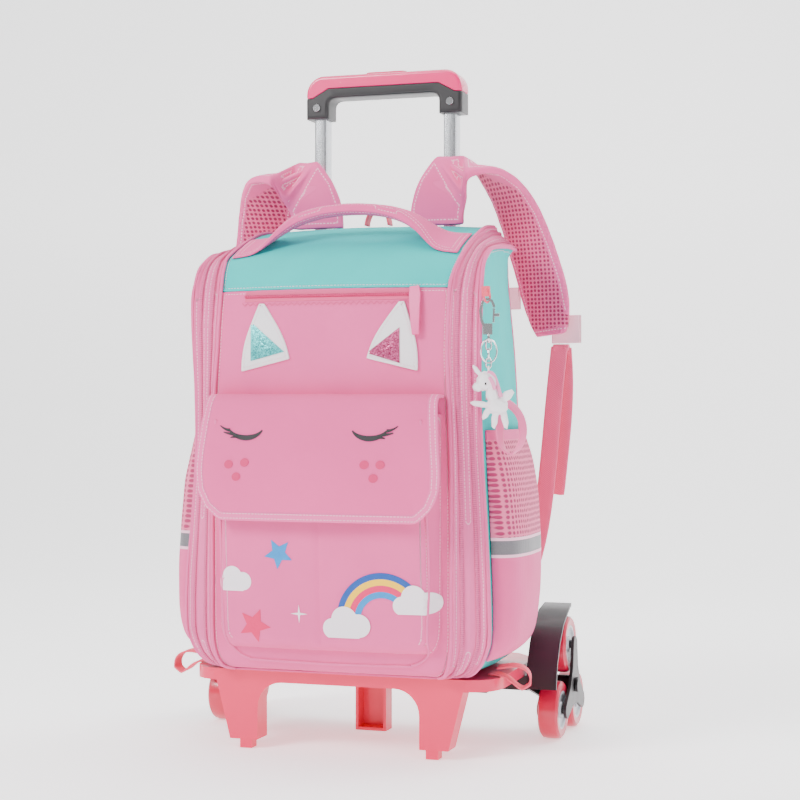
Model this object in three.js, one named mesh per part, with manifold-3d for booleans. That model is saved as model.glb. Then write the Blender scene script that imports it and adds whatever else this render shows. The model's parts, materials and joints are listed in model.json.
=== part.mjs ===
// Child's trolley backpack: a structured school bag that stands on a moulded tray with
// two front feet, a two-tube pull handle and a three-wheel stair spider on each side.
// Millimetres, +Z up, +Y to the back, +X to the right of a person who looks at the front.

import * as THREE from "three";
import { mergeVertices } from "three/addons/utils/BufferGeometryUtils.js";
import Module from "manifold-3d";

const wasm = await Module();
wasm.setup();

// Clearances
const GAP = 0.3; // between pieces that touch
const RUN = 0.6; // round a shaft that turns
const SLIDE = 0.3; // each side of a sliding tube
const SEAT = 0.7; // under pieces sewn flat on the curved cloth

// Bag
const BAG_WIDTH = 320; // over the outer piping
const BAG_DEPTH = 164; // front panel to back panel
const BAG_HEIGHT = 455; // lower hem to the top at the back
const BAG_OVERHANG = 22; // front panel in front of the tray
const BAG_WALL = 2.6; // padded cloth
const BAG_CROWN = 4; // how far the front and top swell
const SIDE_SWELL = 6;
const PIPING_RISE = 3;
const BACK_PAD = 4;
const BOTTOM_BOARD = 2;

// Front pocket, its flap and the ears
const POCKET_WIDTH = 233;
const POCKET_HEIGHT = 234;
const POCKET_DEPTH = 27;
const POCKET_BASE = 24; // above the lower hem
const POCKET_CORNER = 34;
const POCKET_WALL = 2;
const PLEAT_DEPTH = 2.4;
const FLAP_WIDTH = 252;
const FLAP_DROP = 123;
const FLAP_TOP = 276; // above the lower hem
const FLAP_CORNER = 45;
const FLAP_WALL = 3;
const EAR_WIDTH = 52;
const EAR_HEIGHT = 62;
const EAR_THICK = 3;
const EAR_LOW = 306; // above the lower hem
const EAR_SPACING = 133;
const ZIP_LENGTH = 186;
const ZIP_WIDTH = 10;
const ZIP_THICK = 1.4;
const ZIP_HEIGHT = 375; // above the lower hem
const PULLER_LENGTH = 40;
const PULLER_WIDTH = 12;

// Side pockets
const NET_HEIGHT = 229;
const NET_BASE = 14;
const NET_SWELL = 24;
const NET_WALL = 2;

// Carrying
const HANDLE_PLACE = 65; // its middle, behind the front panel
const HANDLE_RISE = 29; // underside of the arch above the top
const HANDLE_WIDTH = 54; // at its flat sewn ends
const HANDLE_THICK = 12;
const STRAP_WIDTH = 58;
const STRAP_THICK = 11;
const WEBBING_WIDTH = 20;
const WEBBING_THICK = 2;
const BUCKLE_WIDTH = 34;
const BUCKLE_HEIGHT = 30;
const CLIP_WIDTH = 18;
const CLIP_HEIGHT = 24;
const LOOP_WIDTH = 14;

// Tray and feet
const TRAY_WIDTH = 326;
const TRAY_FRONT_WIDTH = 266;
const TRAY_DEPTH = 206;
const TRAY_TOP = 80; // above the floor
const TRAY_LIP = 12;
const TRAY_WALL = 3.2;
const LEG_SPACING = 202;
const LEG_WIDTH = 30;
const LEG_SLANT = 15;
const LEG_DEPTH = 26;
const FOOT_CLEAR = 9; // sole of the leg above the floor
const NUB_WIDTH = 13;
const NUB_SETBACK = 1;
const ARCH_RADIUS = 26;
const REAR_LEG_WIDTH = 34;
const REAR_LEG_PLACE = 104;
const REAR_LEG_CLEAR = 5;
const REAR_LEG_DEPTH = 20;
const SOCKET_HEIGHT = 18;

// Telescopic handle
const TUBE_SPACING = 147;
const TUBE_WIDTH = 14.5;
const TUBE_DEPTH = 19;
const TUBE_WALL = 1.4;
const OUTER_WALL = 1.8;
const OUTER_LENGTH = 458;
const INNER_LENGTH = 467;
const GRIP_TOP = 707; // above the floor, handle as shown
const GRIP_WIDTH = 177;
const GRIP_HEIGHT = 47;
const GRIP_DEPTH = 30;
const GRIP_BRIDGE = 25;
const GRIP_LEG = 26;
const GRIP_ROUND = 20;
const SHELL_HEIGHT = 14; // upper shell of the grip in the middle
const SHELL_END = 24; // and at its ends
const GRIP_SOCKET = 12;
const BUTTON_LENGTH = 46;
const BUTTON_WIDTH = 12;
const BUTTON_RISE = 2.5;
const BUTTON_TRAVEL = 4;
const SCREW_RADIUS = 4;
const BRACKET_HEIGHT = 24;

// Wheels
const WHEEL_RADIUS = 30;
const WHEEL_WIDTH = 21;
const WHEEL_TRACK = 372; // middle of the left wheels to the middle of the right wheels
const WHEEL_SIDES = 16;
const SPIDER_SIDE = 74; // wheel centre to wheel centre
const SPIDER_PLATE = 3.4;
const SPIDER_LOBE = 9;
const HUB_RADIUS = 10;
const AXLE_RADIUS = 5;
const PIN_RADIUS = 4.4;
const AXLE_BACK = 189; // behind the front of the tray
const BEAM = 16;
const BRACKET_WIDTH = 62;
const BRACKET_SPACING = 156;
const GUARD_WALL = 3;
const GUARD_CLEAR = 3; // mudguard outside the sweep of the spider

// Key ring
const TAB_WIDTH = 10;
const TAB_RING = 6.5;
const RING_WIRE = 1.1;
const CLASP_WIRE = 2.6;
const LEVER_PIVOT = -25.5; // below the tab
const EYE_PLACE = -41.5; // below the tab
const EYE_RING = 4;
const LINK_WIRE = 0.9;
const LINK_HALF = 5.4;
const LINK_ACROSS = 2.7;
const LOOP_RING = 2.6;
const RING_ACROSS = 8;
const RING_HALF = 11.4;
const WRIST_WIDTH = 10;

// Places that follow from the sizes
const bagBase = TRAY_TOP + GAP + BOTTOM_BOARD + GAP;
const bagBack = BAG_DEPTH - BAG_OVERHANG;
const outerWidth = TUBE_WIDTH + 2 * (SLIDE + OUTER_WALL);
const outerDepth = TUBE_DEPTH + 2 * (SLIDE + OUTER_WALL);
const backFace = bagBack + GAP + BACK_PAD;
const tubeBack = backFace + GAP + outerDepth / 2;
const flatRadius = WHEEL_RADIUS * Math.cos(Math.PI / WHEEL_SIDES);
const armLength = SPIDER_SIDE / Math.sqrt(3);
const axleHeight = flatRadius + armLength / 2;
const spiderIn = WHEEL_TRACK / 2 - WHEEL_WIDTH / 2 - 2 - SPIDER_PLATE;
const spiderOut = WHEEL_TRACK / 2 + WHEEL_WIDTH / 2 + 2;
const gripBottom = GRIP_TOP - GRIP_HEIGHT;

// The bag's skin. Each row is one station from the lower hem up the front and over the top.
// up, back, wide: inner piping; outUp, outBack, outWide: outer piping; rearUp, rearWide: back edge.
// up counts bag heights, back counts bag depths, wide counts half bag widths.
const SKIN_ROWS = [
  { up: 0, back: 0.098, wide: 0.675, outUp: 0, outBack: 0.183, outWide: 0.762, rearUp: 0, rearWide: 0.8 },
  { up: 0.006, back: 0.049, wide: 0.725, outUp: 0.007, outBack: 0.146, outWide: 0.863, rearUp: 0.007, rearWide: 0.887 },
  { up: 0.023, back: 0.024, wide: 0.756, outUp: 0.029, outBack: 0.116, outWide: 0.931, rearUp: 0.029, rearWide: 0.931 },
  { up: 0.049, back: 0.009, wide: 0.775, outUp: 0.06, outBack: 0.098, outWide: 0.975, rearUp: 0.06, rearWide: 0.95 },
  { up: 0.087, back: 0.003, wide: 0.784, outUp: 0.095, outBack: 0.085, outWide: 0.997, rearUp: 0.095, rearWide: 0.956 },
  { up: 0.203, back: 0.003, wide: 0.784, outUp: 0.203, outBack: 0.082, outWide: 0.991, rearUp: 0.203, rearWide: 0.956 },
  { up: 0.335, back: 0.003, wide: 0.784, outUp: 0.335, outBack: 0.104, outWide: 0.966, rearUp: 0.335, rearWide: 0.956 },
  { up: 0.478, back: 0, wide: 0.781, outUp: 0.478, outBack: 0.107, outWide: 0.941, rearUp: 0.478, rearWide: 0.953 },
  { up: 0.621, back: -0.003, wide: 0.766, outUp: 0.614, outBack: 0.085, outWide: 0.934, rearUp: 0.61, rearWide: 0.931 },
  { up: 0.706, back: 0.012, wide: 0.756, outUp: 0.706, outBack: 0.07, outWide: 0.941, rearUp: 0.706, rearWide: 0.916 },
  { up: 0.766, back: 0.034, wide: 0.756, outUp: 0.768, outBack: 0.064, outWide: 0.947, rearUp: 0.759, rearWide: 0.9 },
  { up: 0.838, back: 0.071, wide: 0.756, outUp: 0.825, outBack: 0.07, outWide: 0.95, rearUp: 0.818, rearWide: 0.884 },
  { up: 0.873, back: 0.122, wide: 0.769, outUp: 0.86, outBack: 0.104, outWide: 0.947, rearUp: 0.836, rearWide: 0.878 },
  { up: 0.895, back: 0.177, wide: 0.781, outUp: 0.887, outBack: 0.146, outWide: 0.944, rearUp: 0.854, rearWide: 0.875 },
  { up: 0.915, back: 0.238, wide: 0.791, outUp: 0.906, outBack: 0.22, outWide: 0.941, rearUp: 0.869, rearWide: 0.872 },
  { up: 0.939, back: 0.378, wide: 0.787, outUp: 0.925, outBack: 0.341, outWide: 0.938, rearUp: 0.884, rearWide: 0.869 },
  { up: 0.958, back: 0.512, wide: 0.784, outUp: 0.934, outBack: 0.512, outWide: 0.938, rearUp: 0.898, rearWide: 0.869 },
  { up: 0.977, back: 0.671, wide: 0.781, outUp: 0.939, outBack: 0.671, outWide: 0.938, rearUp: 0.911, rearWide: 0.866 },
  { up: 0.99, back: 0.817, wide: 0.778, outUp: 0.942, outBack: 0.817, outWide: 0.931, rearUp: 0.922, rearWide: 0.866 },
  { up: 0.996, back: 1, wide: 0.775, outUp: 0.943, outBack: 1, outWide: 0.919, rearUp: 0.935, rearWide: 0.875 },
];
const TOP_ROW = 11; // where the front panel ends and the top panel starts
const FRONT_STEPS = 6;
const SIDE_STEPS = 4;

// Across the zip strip, from the inner to the outer piping; rise counts piping rises.
const GUSSET_RELIEF = [
  { across: 0.0, rise: 0.0 },
  { across: 0.08, rise: 1.0 },
  { across: 0.16, rise: 0.1 },
  { across: 0.42, rise: 0.1 },
  { across: 0.5, rise: 0.5 },
  { across: 0.58, rise: 0.1 },
  { across: 0.84, rise: 0.1 },
  { across: 0.92, rise: 1.0 },
  { across: 1.0, rise: 0.0 },
];

// Vectors and small sums
const at = (x, y, z) => new THREE.Vector3(x, y, z);
const mix = THREE.MathUtils.lerp;
const rad = THREE.MathUtils.degToRad;

// Half width at a height over the lower edge of a form whose lower corners are round
function roundedHalf(half, radius, height) {
  const short = Math.max(0, radius - Math.max(0, height));
  return half - radius + Math.sqrt(Math.max(0, radius * radius - short * short));
}

// A closed geometry from points and triangles, turned so that its faces point out
function closedGeometry(points, triangles) {
  let volume = 0;
  for (const [a, b, c] of triangles) {
    volume += points[a].dot(points[b].clone().cross(points[c]));
  }
  const order = volume < 0 ? triangles.map(([a, b, c]) => [a, c, b]) : triangles;
  const geometry = new THREE.BufferGeometry().setFromPoints(points);
  geometry.setIndex(order.flat());
  return geometry;
}

// A wall between two grids of points of the same size
function wallBetween(outer, inner) {
  const rows = outer.length;
  const cols = outer[0].length;
  const points = [...outer.flat(), ...inner.flat()];
  const index = (side, r, c) => side * rows * cols + r * cols + c;
  const triangles = [];
  const quad = (a, b, c, d) => triangles.push([a, b, c], [a, c, d]);
  for (let r = 0; r + 1 < rows; r++) {
    for (let c = 0; c + 1 < cols; c++) {
      quad(index(0, r, c), index(0, r, c + 1), index(0, r + 1, c + 1), index(0, r + 1, c));
      quad(index(1, r, c), index(1, r + 1, c), index(1, r + 1, c + 1), index(1, r, c + 1));
    }
    quad(index(0, r, 0), index(0, r + 1, 0), index(1, r + 1, 0), index(1, r, 0));
    quad(index(0, r + 1, cols - 1), index(0, r, cols - 1), index(1, r, cols - 1), index(1, r + 1, cols - 1));
  }
  for (let c = 0; c + 1 < cols; c++) {
    quad(index(0, 0, c + 1), index(0, 0, c), index(1, 0, c), index(1, 0, c + 1));
    quad(index(0, rows - 1, c), index(0, rows - 1, c + 1), index(1, rows - 1, c + 1), index(1, rows - 1, c));
  }
  return closedGeometry(points, triangles);
}

// A solid through closed rings of points, capped at both ends
function loft(rings) {
  const count = rings[0].length;
  const points = rings.flat();
  const triangles = [];
  for (let r = 0; r + 1 < rings.length; r++) {
    for (let c = 0; c < count; c++) {
      const a = r * count + c;
      const b = r * count + ((c + 1) % count);
      triangles.push([a, b, b + count], [a, b + count, a + count]);
    }
  }
  const last = (rings.length - 1) * count;
  for (let c = 1; c + 1 < count; c++) {
    triangles.push([0, c + 1, c], [last, last + c, last + c + 1]);
  }
  return closedGeometry(points, triangles);
}

// Booleans
function solid(geometry) {
  const bare = new THREE.BufferGeometry();
  bare.setAttribute("position", geometry.getAttribute("position").clone());
  if (geometry.index) bare.setIndex(geometry.index.clone());
  const merged = mergeVertices(bare, 1e-4);
  const vertProperties = new Float32Array(merged.getAttribute("position").array);
  const triVerts = new Uint32Array(merged.index.array);
  return new wasm.Manifold(new wasm.Mesh({ numProp: 3, vertProperties, triVerts }));
}

function geometryOf(body) {
  const mesh = body.getMesh();
  const geometry = new THREE.BufferGeometry();
  geometry.setAttribute("position", new THREE.BufferAttribute(new Float32Array(mesh.vertProperties), 3));
  geometry.setIndex(new THREE.BufferAttribute(new Uint32Array(mesh.triVerts), 1));
  return geometry;
}

function joined(geometries) {
  return geometryOf(geometries.map(solid).reduce((body, next) => body.add(next)));
}

function cut(geometry, cutters) {
  return geometryOf(cutters.map(solid).reduce((body, next) => body.subtract(next), solid(geometry)));
}

// Primitives between stated faces
function block(x0, x1, y0, y1, z0, z1) {
  const geometry = new THREE.BoxGeometry(x1 - x0, y1 - y0, z1 - z0);
  return geometry.translate((x0 + x1) / 2, (y0 + y1) / 2, (z0 + z1) / 2);
}

function rod(radius, x0, x1, y, z, sides = 12) {
  const geometry = new THREE.CylinderGeometry(radius, radius, x1 - x0, sides);
  return geometry.rotateZ(-Math.PI / 2).translate((x0 + x1) / 2, y, z);
}

function polygon(points) {
  return new THREE.Shape(points.map(([x, y]) => new THREE.Vector2(x, y)));
}

// A plan outline between two heights
function plate(shape, z0, z1) {
  const options = { depth: z1 - z0, bevelEnabled: false, curveSegments: 4 };
  return new THREE.ExtrudeGeometry(shape, options).translate(0, 0, z0);
}

// An outline seen from the front, between two depths
function frontSlab(shape, y0, y1, bevel = 0) {
  const options = { depth: y1 - y0 - 2 * bevel, bevelEnabled: bevel > 0, curveSegments: 4 };
  Object.assign(options, { bevelSize: bevel, bevelThickness: bevel, bevelOffset: -bevel, bevelSegments: 2 });
  return new THREE.ExtrudeGeometry(shape, options).rotateX(Math.PI / 2).translate(0, y1 - bevel, 0);
}

// An outline seen from the side (y to the right, z up), between two places across
function sideSlab(shape, x0, x1) {
  const options = { depth: x1 - x0, bevelEnabled: false, curveSegments: 3 };
  const turn = new THREE.Matrix4().makeBasis(at(0, 1, 0), at(0, 0, 1), at(1, 0, 0));
  return new THREE.ExtrudeGeometry(shape, options).applyMatrix4(turn).translate(x0, 0, 0);
}

function roundedRectangle(width, depth, radius) {
  const shape = new THREE.Shape();
  const x = width / 2;
  const y = depth / 2;
  shape.moveTo(-x + radius, -y).lineTo(x - radius, -y);
  shape.absarc(x - radius, -y + radius, radius, -Math.PI / 2, 0);
  shape.absarc(x - radius, y - radius, radius, 0, Math.PI / 2);
  shape.absarc(-x + radius, y - radius, radius, Math.PI / 2, Math.PI);
  shape.absarc(-x + radius, -y + radius, radius, Math.PI, 1.5 * Math.PI);
  return shape;
}

// A flat band along stations; each has a place and the direction of its width.
// Padded bands have round edges, webbing has square ones.
const PADDED = 5;

function ribbon(stations, width, thick) {
  const rings = stations.map((station, i) => {
    const before = stations[Math.max(0, i - 1)].place;
    const after = stations[Math.min(stations.length - 1, i + 1)].place;
    const along = after.clone().sub(before).normalize();
    const across = station.width.clone();
    across.addScaledVector(along, -across.dot(along)).normalize();
    const face = across.clone().cross(along);
    const half = (width / 2) * (station.share ?? 1);
    const deep = thick * (station.thick ?? 1);
    const edge = half - Math.min(half, deep) * 0.35;
    const corner = (w, t) => station.place.clone().addScaledVector(across, w).addScaledVector(face, t * deep);
    if (thick < PADDED) return [corner(-half, -0.5), corner(half, -0.5), corner(half, 0.5), corner(-half, 0.5)];
    return [
      corner(-edge, -0.5), corner(edge, -0.5), corner(half, -0.2), corner(half, 0.2),
      corner(edge, 0.5), corner(-edge, 0.5), corner(-half, 0.2), corner(-half, -0.2),
    ];
  });
  return loft(rings);
}

function mirrored(geometry) {
  const flipped = geometry.clone().scale(-1, 1, 1);
  const source = flipped.index ? flipped : mergeVertices(flipped);
  const index = Array.from(source.index.array);
  for (let i = 0; i < index.length; i += 3) [index[i], index[i + 1]] = [index[i + 1], index[i]];
  source.setIndex(index);
  return source;
}

// The group and its materials
const bag = new THREE.Group();

function add(name, geometry, colour, roughness = 0.9, metalness = 0) {
  const material = new THREE.MeshStandardMaterial({ color: colour, roughness, metalness });
  const mesh = new THREE.Mesh(geometry, material);
  mesh.name = name;
  bag.add(mesh);
}

function addPair(name, right, ...finish) {
  add(`${name}_right`, right, ...finish);
  add(`${name}_left`, mirrored(right), ...finish);
}

const ROSE = 0xf59bc0;
const LIGHT_ROSE = 0xf9b9d4;
const TURQUOISE = 0x6feae6;
const NET_ROSE = 0xe8668f;
const WEBBING_ROSE = 0xfb7c93;
const TRAY_PINK = 0xff3f78;
const GRIP_PINK = 0xff6aae;
const BLACK = 0x262226;
const SILVER = 0xc9cbd0;
const TYRE_RED = 0xcc2450;
const SATIN = 0xf4f0f4;
const CLIP_PINK = 0xf8c4d2;

// Skin of the bag as grids of points: left back edge, side, zip strip, front, and so on round
function skinPoint(row, column) {
  const half = BAG_WIDTH / 2;
  const piping = at(half * row.wide, BAG_DEPTH * row.back - BAG_OVERHANG, bagBase + BAG_HEIGHT * row.up);
  const outer = at(half * row.outWide, BAG_DEPTH * row.outBack - BAG_OVERHANG, bagBase + BAG_HEIGHT * row.outUp);
  const rear = at(half * row.rearWide, bagBack, bagBase + BAG_HEIGHT * row.rearUp);
  if (column.zone === "front") return at(piping.x * column.share, piping.y, piping.z);
  const [from, to] = column.zone === "gusset" ? [piping, outer] : [outer, rear];
  const point = from.lerp(to, column.share);
  return point.setX(point.x * column.hand);
}

function skinColumns() {
  const front = [];
  for (let i = 0; i <= FRONT_STEPS; i++) front.push({ zone: "front", share: (2 * i) / FRONT_STEPS - 1, rise: 0 });
  const right = [];
  for (const { across, rise } of GUSSET_RELIEF.slice(1)) right.push({ zone: "gusset", share: across, rise });
  for (let i = 1; i <= SIDE_STEPS; i++) right.push({ zone: "side", share: i / SIDE_STEPS, rise: 0 });
  const withHand = (hand) => right.map((column) => ({ ...column, hand }));
  return [...withHand(-1).reverse(), ...front, ...withHand(1)];
}

// How far a point of the skin swells, in its own zone
function swell(column, r) {
  const rows = SKIN_ROWS.length - 1;
  if (column.zone === "front") {
    return BAG_CROWN * (1 - column.share * column.share) * Math.min(1, r / 3);
  }
  if (column.zone === "gusset") return 0;
  const fade = Math.min(1, r / 3) * Math.min(1, (rows - r) / 8);
  return SIDE_SWELL * Math.sin(Math.PI * column.share) * fade;
}

function gridNormals(grid) {
  return grid.map((row, r) =>
    row.map((_, c) => {
      const here = row[c];
      const way = (from, to) => to.clone().sub(from).normalize();
      const up = way(here, grid[Math.min(grid.length - 1, r + 1)][c]).add(way(grid[Math.max(0, r - 1)][c], here));
      const over = way(here, row[Math.min(row.length - 1, c + 1)]).add(way(row[Math.max(0, c - 1)], here));
      return over.cross(up).normalize();
    }),
  );
}

const columns = skinColumns();
const bareSkin = SKIN_ROWS.map((row) => columns.map((column) => skinPoint(row, column)));
const bareNormals = gridNormals(bareSkin);
const smoothSkin = bareSkin.map((row, r) =>
  row.map((point, c) => point.clone().addScaledVector(bareNormals[r][c], swell(columns[c], r))),
);
const skinNormals = gridNormals(smoothSkin);

// Moves a skin point out (or in), and keeps the open edges in the planes of the back and the bottom
function offsetSkin(r, c, distance) {
  const point = smoothSkin[r][c].clone().addScaledVector(skinNormals[r][c], distance);
  const onBack = r === SKIN_ROWS.length - 1 || c === 0 || c === columns.length - 1;
  if (onBack) point.y = bagBack;
  if (r === 0) point.z = bagBase;
  return point;
}

// The side's padding thins out towards the sharp top corner at the back
function wallAt(r, column) {
  const corner = column.zone === "side" ? THREE.MathUtils.smoothstep(r, TOP_ROW + 3, SKIN_ROWS.length - 2) : 0;
  return mix(BAG_WALL, BAG_WALL / 5, corner);
}

const outerSkin = smoothSkin.map((row, r) => row.map((_, c) => offsetSkin(r, c, columns[c].rise * PIPING_RISE)));
const innerSkin = smoothSkin.map((row, r) => row.map((_, c) => offsetSkin(r, c, -wallAt(r, columns[c]))));

const firstOf = (zone, hand) => columns.findIndex((column) => column.zone === zone && column.hand === hand);
const frontFirst = columns.findIndex((column) => column.zone === "front");
const frontLast = frontFirst + FRONT_STEPS;
const gussetLast = firstOf("side", 1) - 1;
const skinRows = SKIN_ROWS.length - 1;

// One cloth panel: a patch of the skin, drawn back from its seams by a gap
function panel(r0, r1, c0, c1) {
  const patch = (skin) => skin.slice(r0, r1 + 1).map((row) => row.slice(c0, c1 + 1).map((p) => p.clone()));
  const drawn = (grid) => {
    const pull = (edge, next) => edge.addScaledVector(next.clone().sub(edge).normalize(), GAP);
    grid.forEach((row) => {
      pull(row[0], row[1]);
      pull(row[row.length - 1], row[row.length - 2]);
    });
    grid[0].forEach((point, c) => r0 > 0 && pull(point, grid[1][c]));
    grid[grid.length - 1].forEach((point, c) => r1 < skinRows && pull(point, grid[grid.length - 2][c]));
    return grid;
  };
  return wallBetween(drawn(patch(outerSkin)), drawn(patch(innerSkin)));
}

// Point and normal anywhere on the skin, by row and column numbers that need not be whole
function onSkin(r, c, out) {
  const r0 = Math.min(skinRows - 1, Math.floor(r));
  const c0 = Math.min(columns.length - 2, Math.floor(c));
  const blend = (grid) => {
    const low = grid[r0][c0].clone().lerp(grid[r0][c0 + 1], c - c0);
    return low.lerp(grid[r0 + 1][c0].clone().lerp(grid[r0 + 1][c0 + 1], c - c0), r - r0);
  };
  return blend(smoothSkin).addScaledVector(blend(skinNormals).normalize(), out);
}

function rowAtHeight(z) {
  let r = 0;
  while (r < TOP_ROW - 1 && smoothSkin[r + 1][frontFirst].z < z) r++;
  const low = smoothSkin[r][frontFirst].z;
  return r + (z - low) / (smoothSkin[r + 1][frontFirst].z - low);
}

function rowAtDepth(y) {
  let r = TOP_ROW;
  while (r < skinRows - 1 && smoothSkin[r + 1][frontFirst].y < y) r++;
  const low = smoothSkin[r][frontFirst].y;
  return r + (y - low) / (smoothSkin[r + 1][frontFirst].y - low);
}

function columnAcross(r, x) {
  const half = onSkin(r, frontLast, 0).x;
  return frontFirst + ((x / half + 1) / 2) * FRONT_STEPS;
}

// A place on the front panel at x and z, or on the top panel at x and y
function onFront(x, z, out) {
  const r = rowAtHeight(z);
  return at(x, onSkin(r, columnAcross(r, x), 0).y - out, z);
}

function onTop(x, y, out) {
  const r = rowAtDepth(y);
  return at(x, y, onSkin(r, columnAcross(r, x), 0).z + out);
}

function addBagShell() {
  add("front_panel", panel(0, TOP_ROW, frontFirst, frontLast), ROSE);
  add("top_panel", panel(TOP_ROW, skinRows, frontFirst, frontLast), TURQUOISE);
  const leftSeam = columns.length - 1 - gussetLast;
  addPair("gusset", mirrored(panel(0, skinRows, leftSeam, frontFirst)), LIGHT_ROSE);
  addPair("side_panel", mirrored(panel(0, skinRows, 0, leftSeam)), TURQUOISE);
}

function addBackAndBottom() {
  const top = smoothSkin[skinRows];
  const side = smoothSkin.map((row) => row[row.length - 1]);
  const outline = [
    ...side.map((p) => [p.x, p.z]),
    ...top.slice(0, -1).reverse().map((p) => [p.x, p.z]),
    ...side.slice(0, -1).reverse().map((p) => [-p.x, p.z]),
  ];
  add("back_panel", frontSlab(polygon(outline), bagBack + GAP, backFace), ROSE);
  const hem = smoothSkin[0].map((p) => [p.x, p.y]);
  add("bottom_panel", plate(polygon(hem), TRAY_TOP + GAP, TRAY_TOP + GAP + BOTTOM_BOARD), ROSE);
}

// Front pocket: a box pocket with round lower corners and a pleat down the middle, open at the top
const POCKET_ACROSS = [-1, -0.97, -0.9, -0.45, -0.08, -0.035, -0.015, 0.01, 0.45, 0.9, 0.97, 1];
const POCKET_UP = [0, 0.008, 0.035, 0.07, 0.12, 0.3, 0.6, 1];

function pocketDepth(across, up) {
  const edge = Math.min(1, (1 - Math.abs(across)) / 0.1);
  const foot = Math.min(1, up / 0.035);
  return Math.pow(edge, 0.85) * Math.sqrt(foot * (2 - foot)) * mix(0.55, 1, Math.min(1, up * 1.2));
}

function pocketSurface(inset) {
  const base = bagBase + POCKET_BASE;
  const half = POCKET_WIDTH / 2 - inset;
  return POCKET_UP.map((up) =>
    POCKET_ACROSS.map((across) => {
      const height = inset + (POCKET_HEIGHT - inset) * up;
      const x = across * roundedHalf(half, POCKET_CORNER - inset, height - inset + POCKET_CORNER * 0.3 * (1 - up));
      const pleat = PLEAT_DEPTH * Math.max(0, 1 - Math.abs(across + 0.02) / 0.045);
      const out = GAP + (POCKET_DEPTH - inset) * pocketDepth(across, up) - pleat * (up > 0.03 ? 1 : 0);
      return onFront(x, base + height, Math.max(GAP, out));
    }),
  );
}

// Flap: grows out of the front panel, rolls over the pocket's mouth and hangs in front of it
const FLAP_ROWS = [
  { down: 0.0, out: 0.02, wide: 0.945 },
  { down: -0.015, out: 0.45, wide: 0.948 },
  { down: 0.015, out: 0.78, wide: 0.95 },
  { down: 0.09, out: 0.95, wide: 0.955 },
  { down: 0.24, out: 1.1, wide: 0.97 },
  { down: 0.45, out: 1.26, wide: 0.99 },
  { down: 0.6, out: 1.28, wide: 1.0 },
  { down: 0.76, out: 1.26, wide: 1.0 },
  { down: 0.9, out: 1.2, wide: 1.0 },
  { down: 1.0, out: 1.16, wide: 1.0 },
];
const FLAP_ACROSS = [-1, -0.94, -0.6, -0.2, 0.2, 0.6, 0.94, 1];

function flapSurface(layer) {
  const reach = POCKET_DEPTH + 2 * GAP + 2.2 + FLAP_WALL;
  const rows = FLAP_ROWS.map(({ down, out, wide }) => {
    const z = bagBase + FLAP_TOP - FLAP_DROP * down;
    const half = roundedHalf(FLAP_WIDTH / 2, FLAP_CORNER, FLAP_DROP * (1 - down) + FLAP_CORNER * 0.12);
    return { z, half: half * wide, out: reach * out };
  });
  return rows.map((row, r) => {
    const next = rows[Math.min(rows.length - 1, r + 1)];
    const last = rows[Math.max(0, r - 1)];
    const lean = Math.atan2(next.out - last.out, last.z - next.z);
    return FLAP_ACROSS.map((across) => {
      const x = across * row.half;
      const out = Math.max(GAP, row.out - layer * Math.cos(lean));
      return onFront(x, row.z - layer * Math.sin(lean), out);
    });
  });
}

function addPockets() {
  const front = wallBetween(pocketSurface(0), pocketSurface(POCKET_WALL));
  add("front_pocket", front, ROSE);
  add("pocket_flap", wallBetween(flapSurface(0), flapSurface(FLAP_WALL)), ROSE);
}

// Ears: leaf-shaped pieces that lie on the front panel; lean is how far the tip points outwards
function ear(hand) {
  const rows = [
    { up: 0.0, wide: 1.0 },
    { up: 0.25, wide: 0.92 },
    { up: 0.5, wide: 0.72 },
    { up: 0.75, wide: 0.42 },
    { up: 1.0, wide: 0.1 },
  ];
  const low = bagBase + EAR_LOW;
  const surface = (out) =>
    rows.map(({ up, wide }) =>
      [-1, -0.33, 0.33, 1].map((across) => {
        const x = hand * (EAR_SPACING / 2 + EAR_WIDTH * 0.14 * up) + (across * wide * EAR_WIDTH) / 2;
        const tuck = hand * across * EAR_WIDTH * 0.12 * (1 - up);
        return onFront(x, low + EAR_HEIGHT * up - tuck, out);
      }),
    );
  return wallBetween(surface(SEAT + EAR_THICK), surface(SEAT));
}

function addFrontTrim() {
  add("ear_left", ear(-1), SATIN, 0.5);
  add("ear_right", ear(1), SATIN, 0.5);
  const zipZ = bagBase + ZIP_HEIGHT;
  const strip = (out) =>
    [0.5, -0.5].map((v) => [-0.5, -0.25, 0, 0.25, 0.5].map((u) => onFront(u * ZIP_LENGTH, zipZ - v * ZIP_WIDTH, out)));
  add("front_zip", wallBetween(strip(SEAT + ZIP_THICK), strip(SEAT)), ROSE);
  const sliderX = ZIP_LENGTH / 2 - PULLER_WIDTH / 2;
  const puller = [
    { down: -0.2, share: 0.8, lift: 0 },
    { down: 0, share: 1, lift: 0 },
    { down: 0.3, share: 0.9, lift: 1.6 },
    { down: 0.7, share: 0.75, lift: 2.4 },
    { down: 1, share: 0.6, lift: 2.4 },
  ].map(({ down, share, lift }) => ({
    place: onFront(sliderX + PULLER_WIDTH * 0.3 * down, zipZ - PULLER_LENGTH * down, SEAT + ZIP_THICK + GAP + 1.2 + lift),
    width: at(1, 0, 0),
    share,
  }));
  add("zip_puller", ribbon(puller, PULLER_WIDTH, 2.4), GRIP_PINK, 0.5);
}

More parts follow.
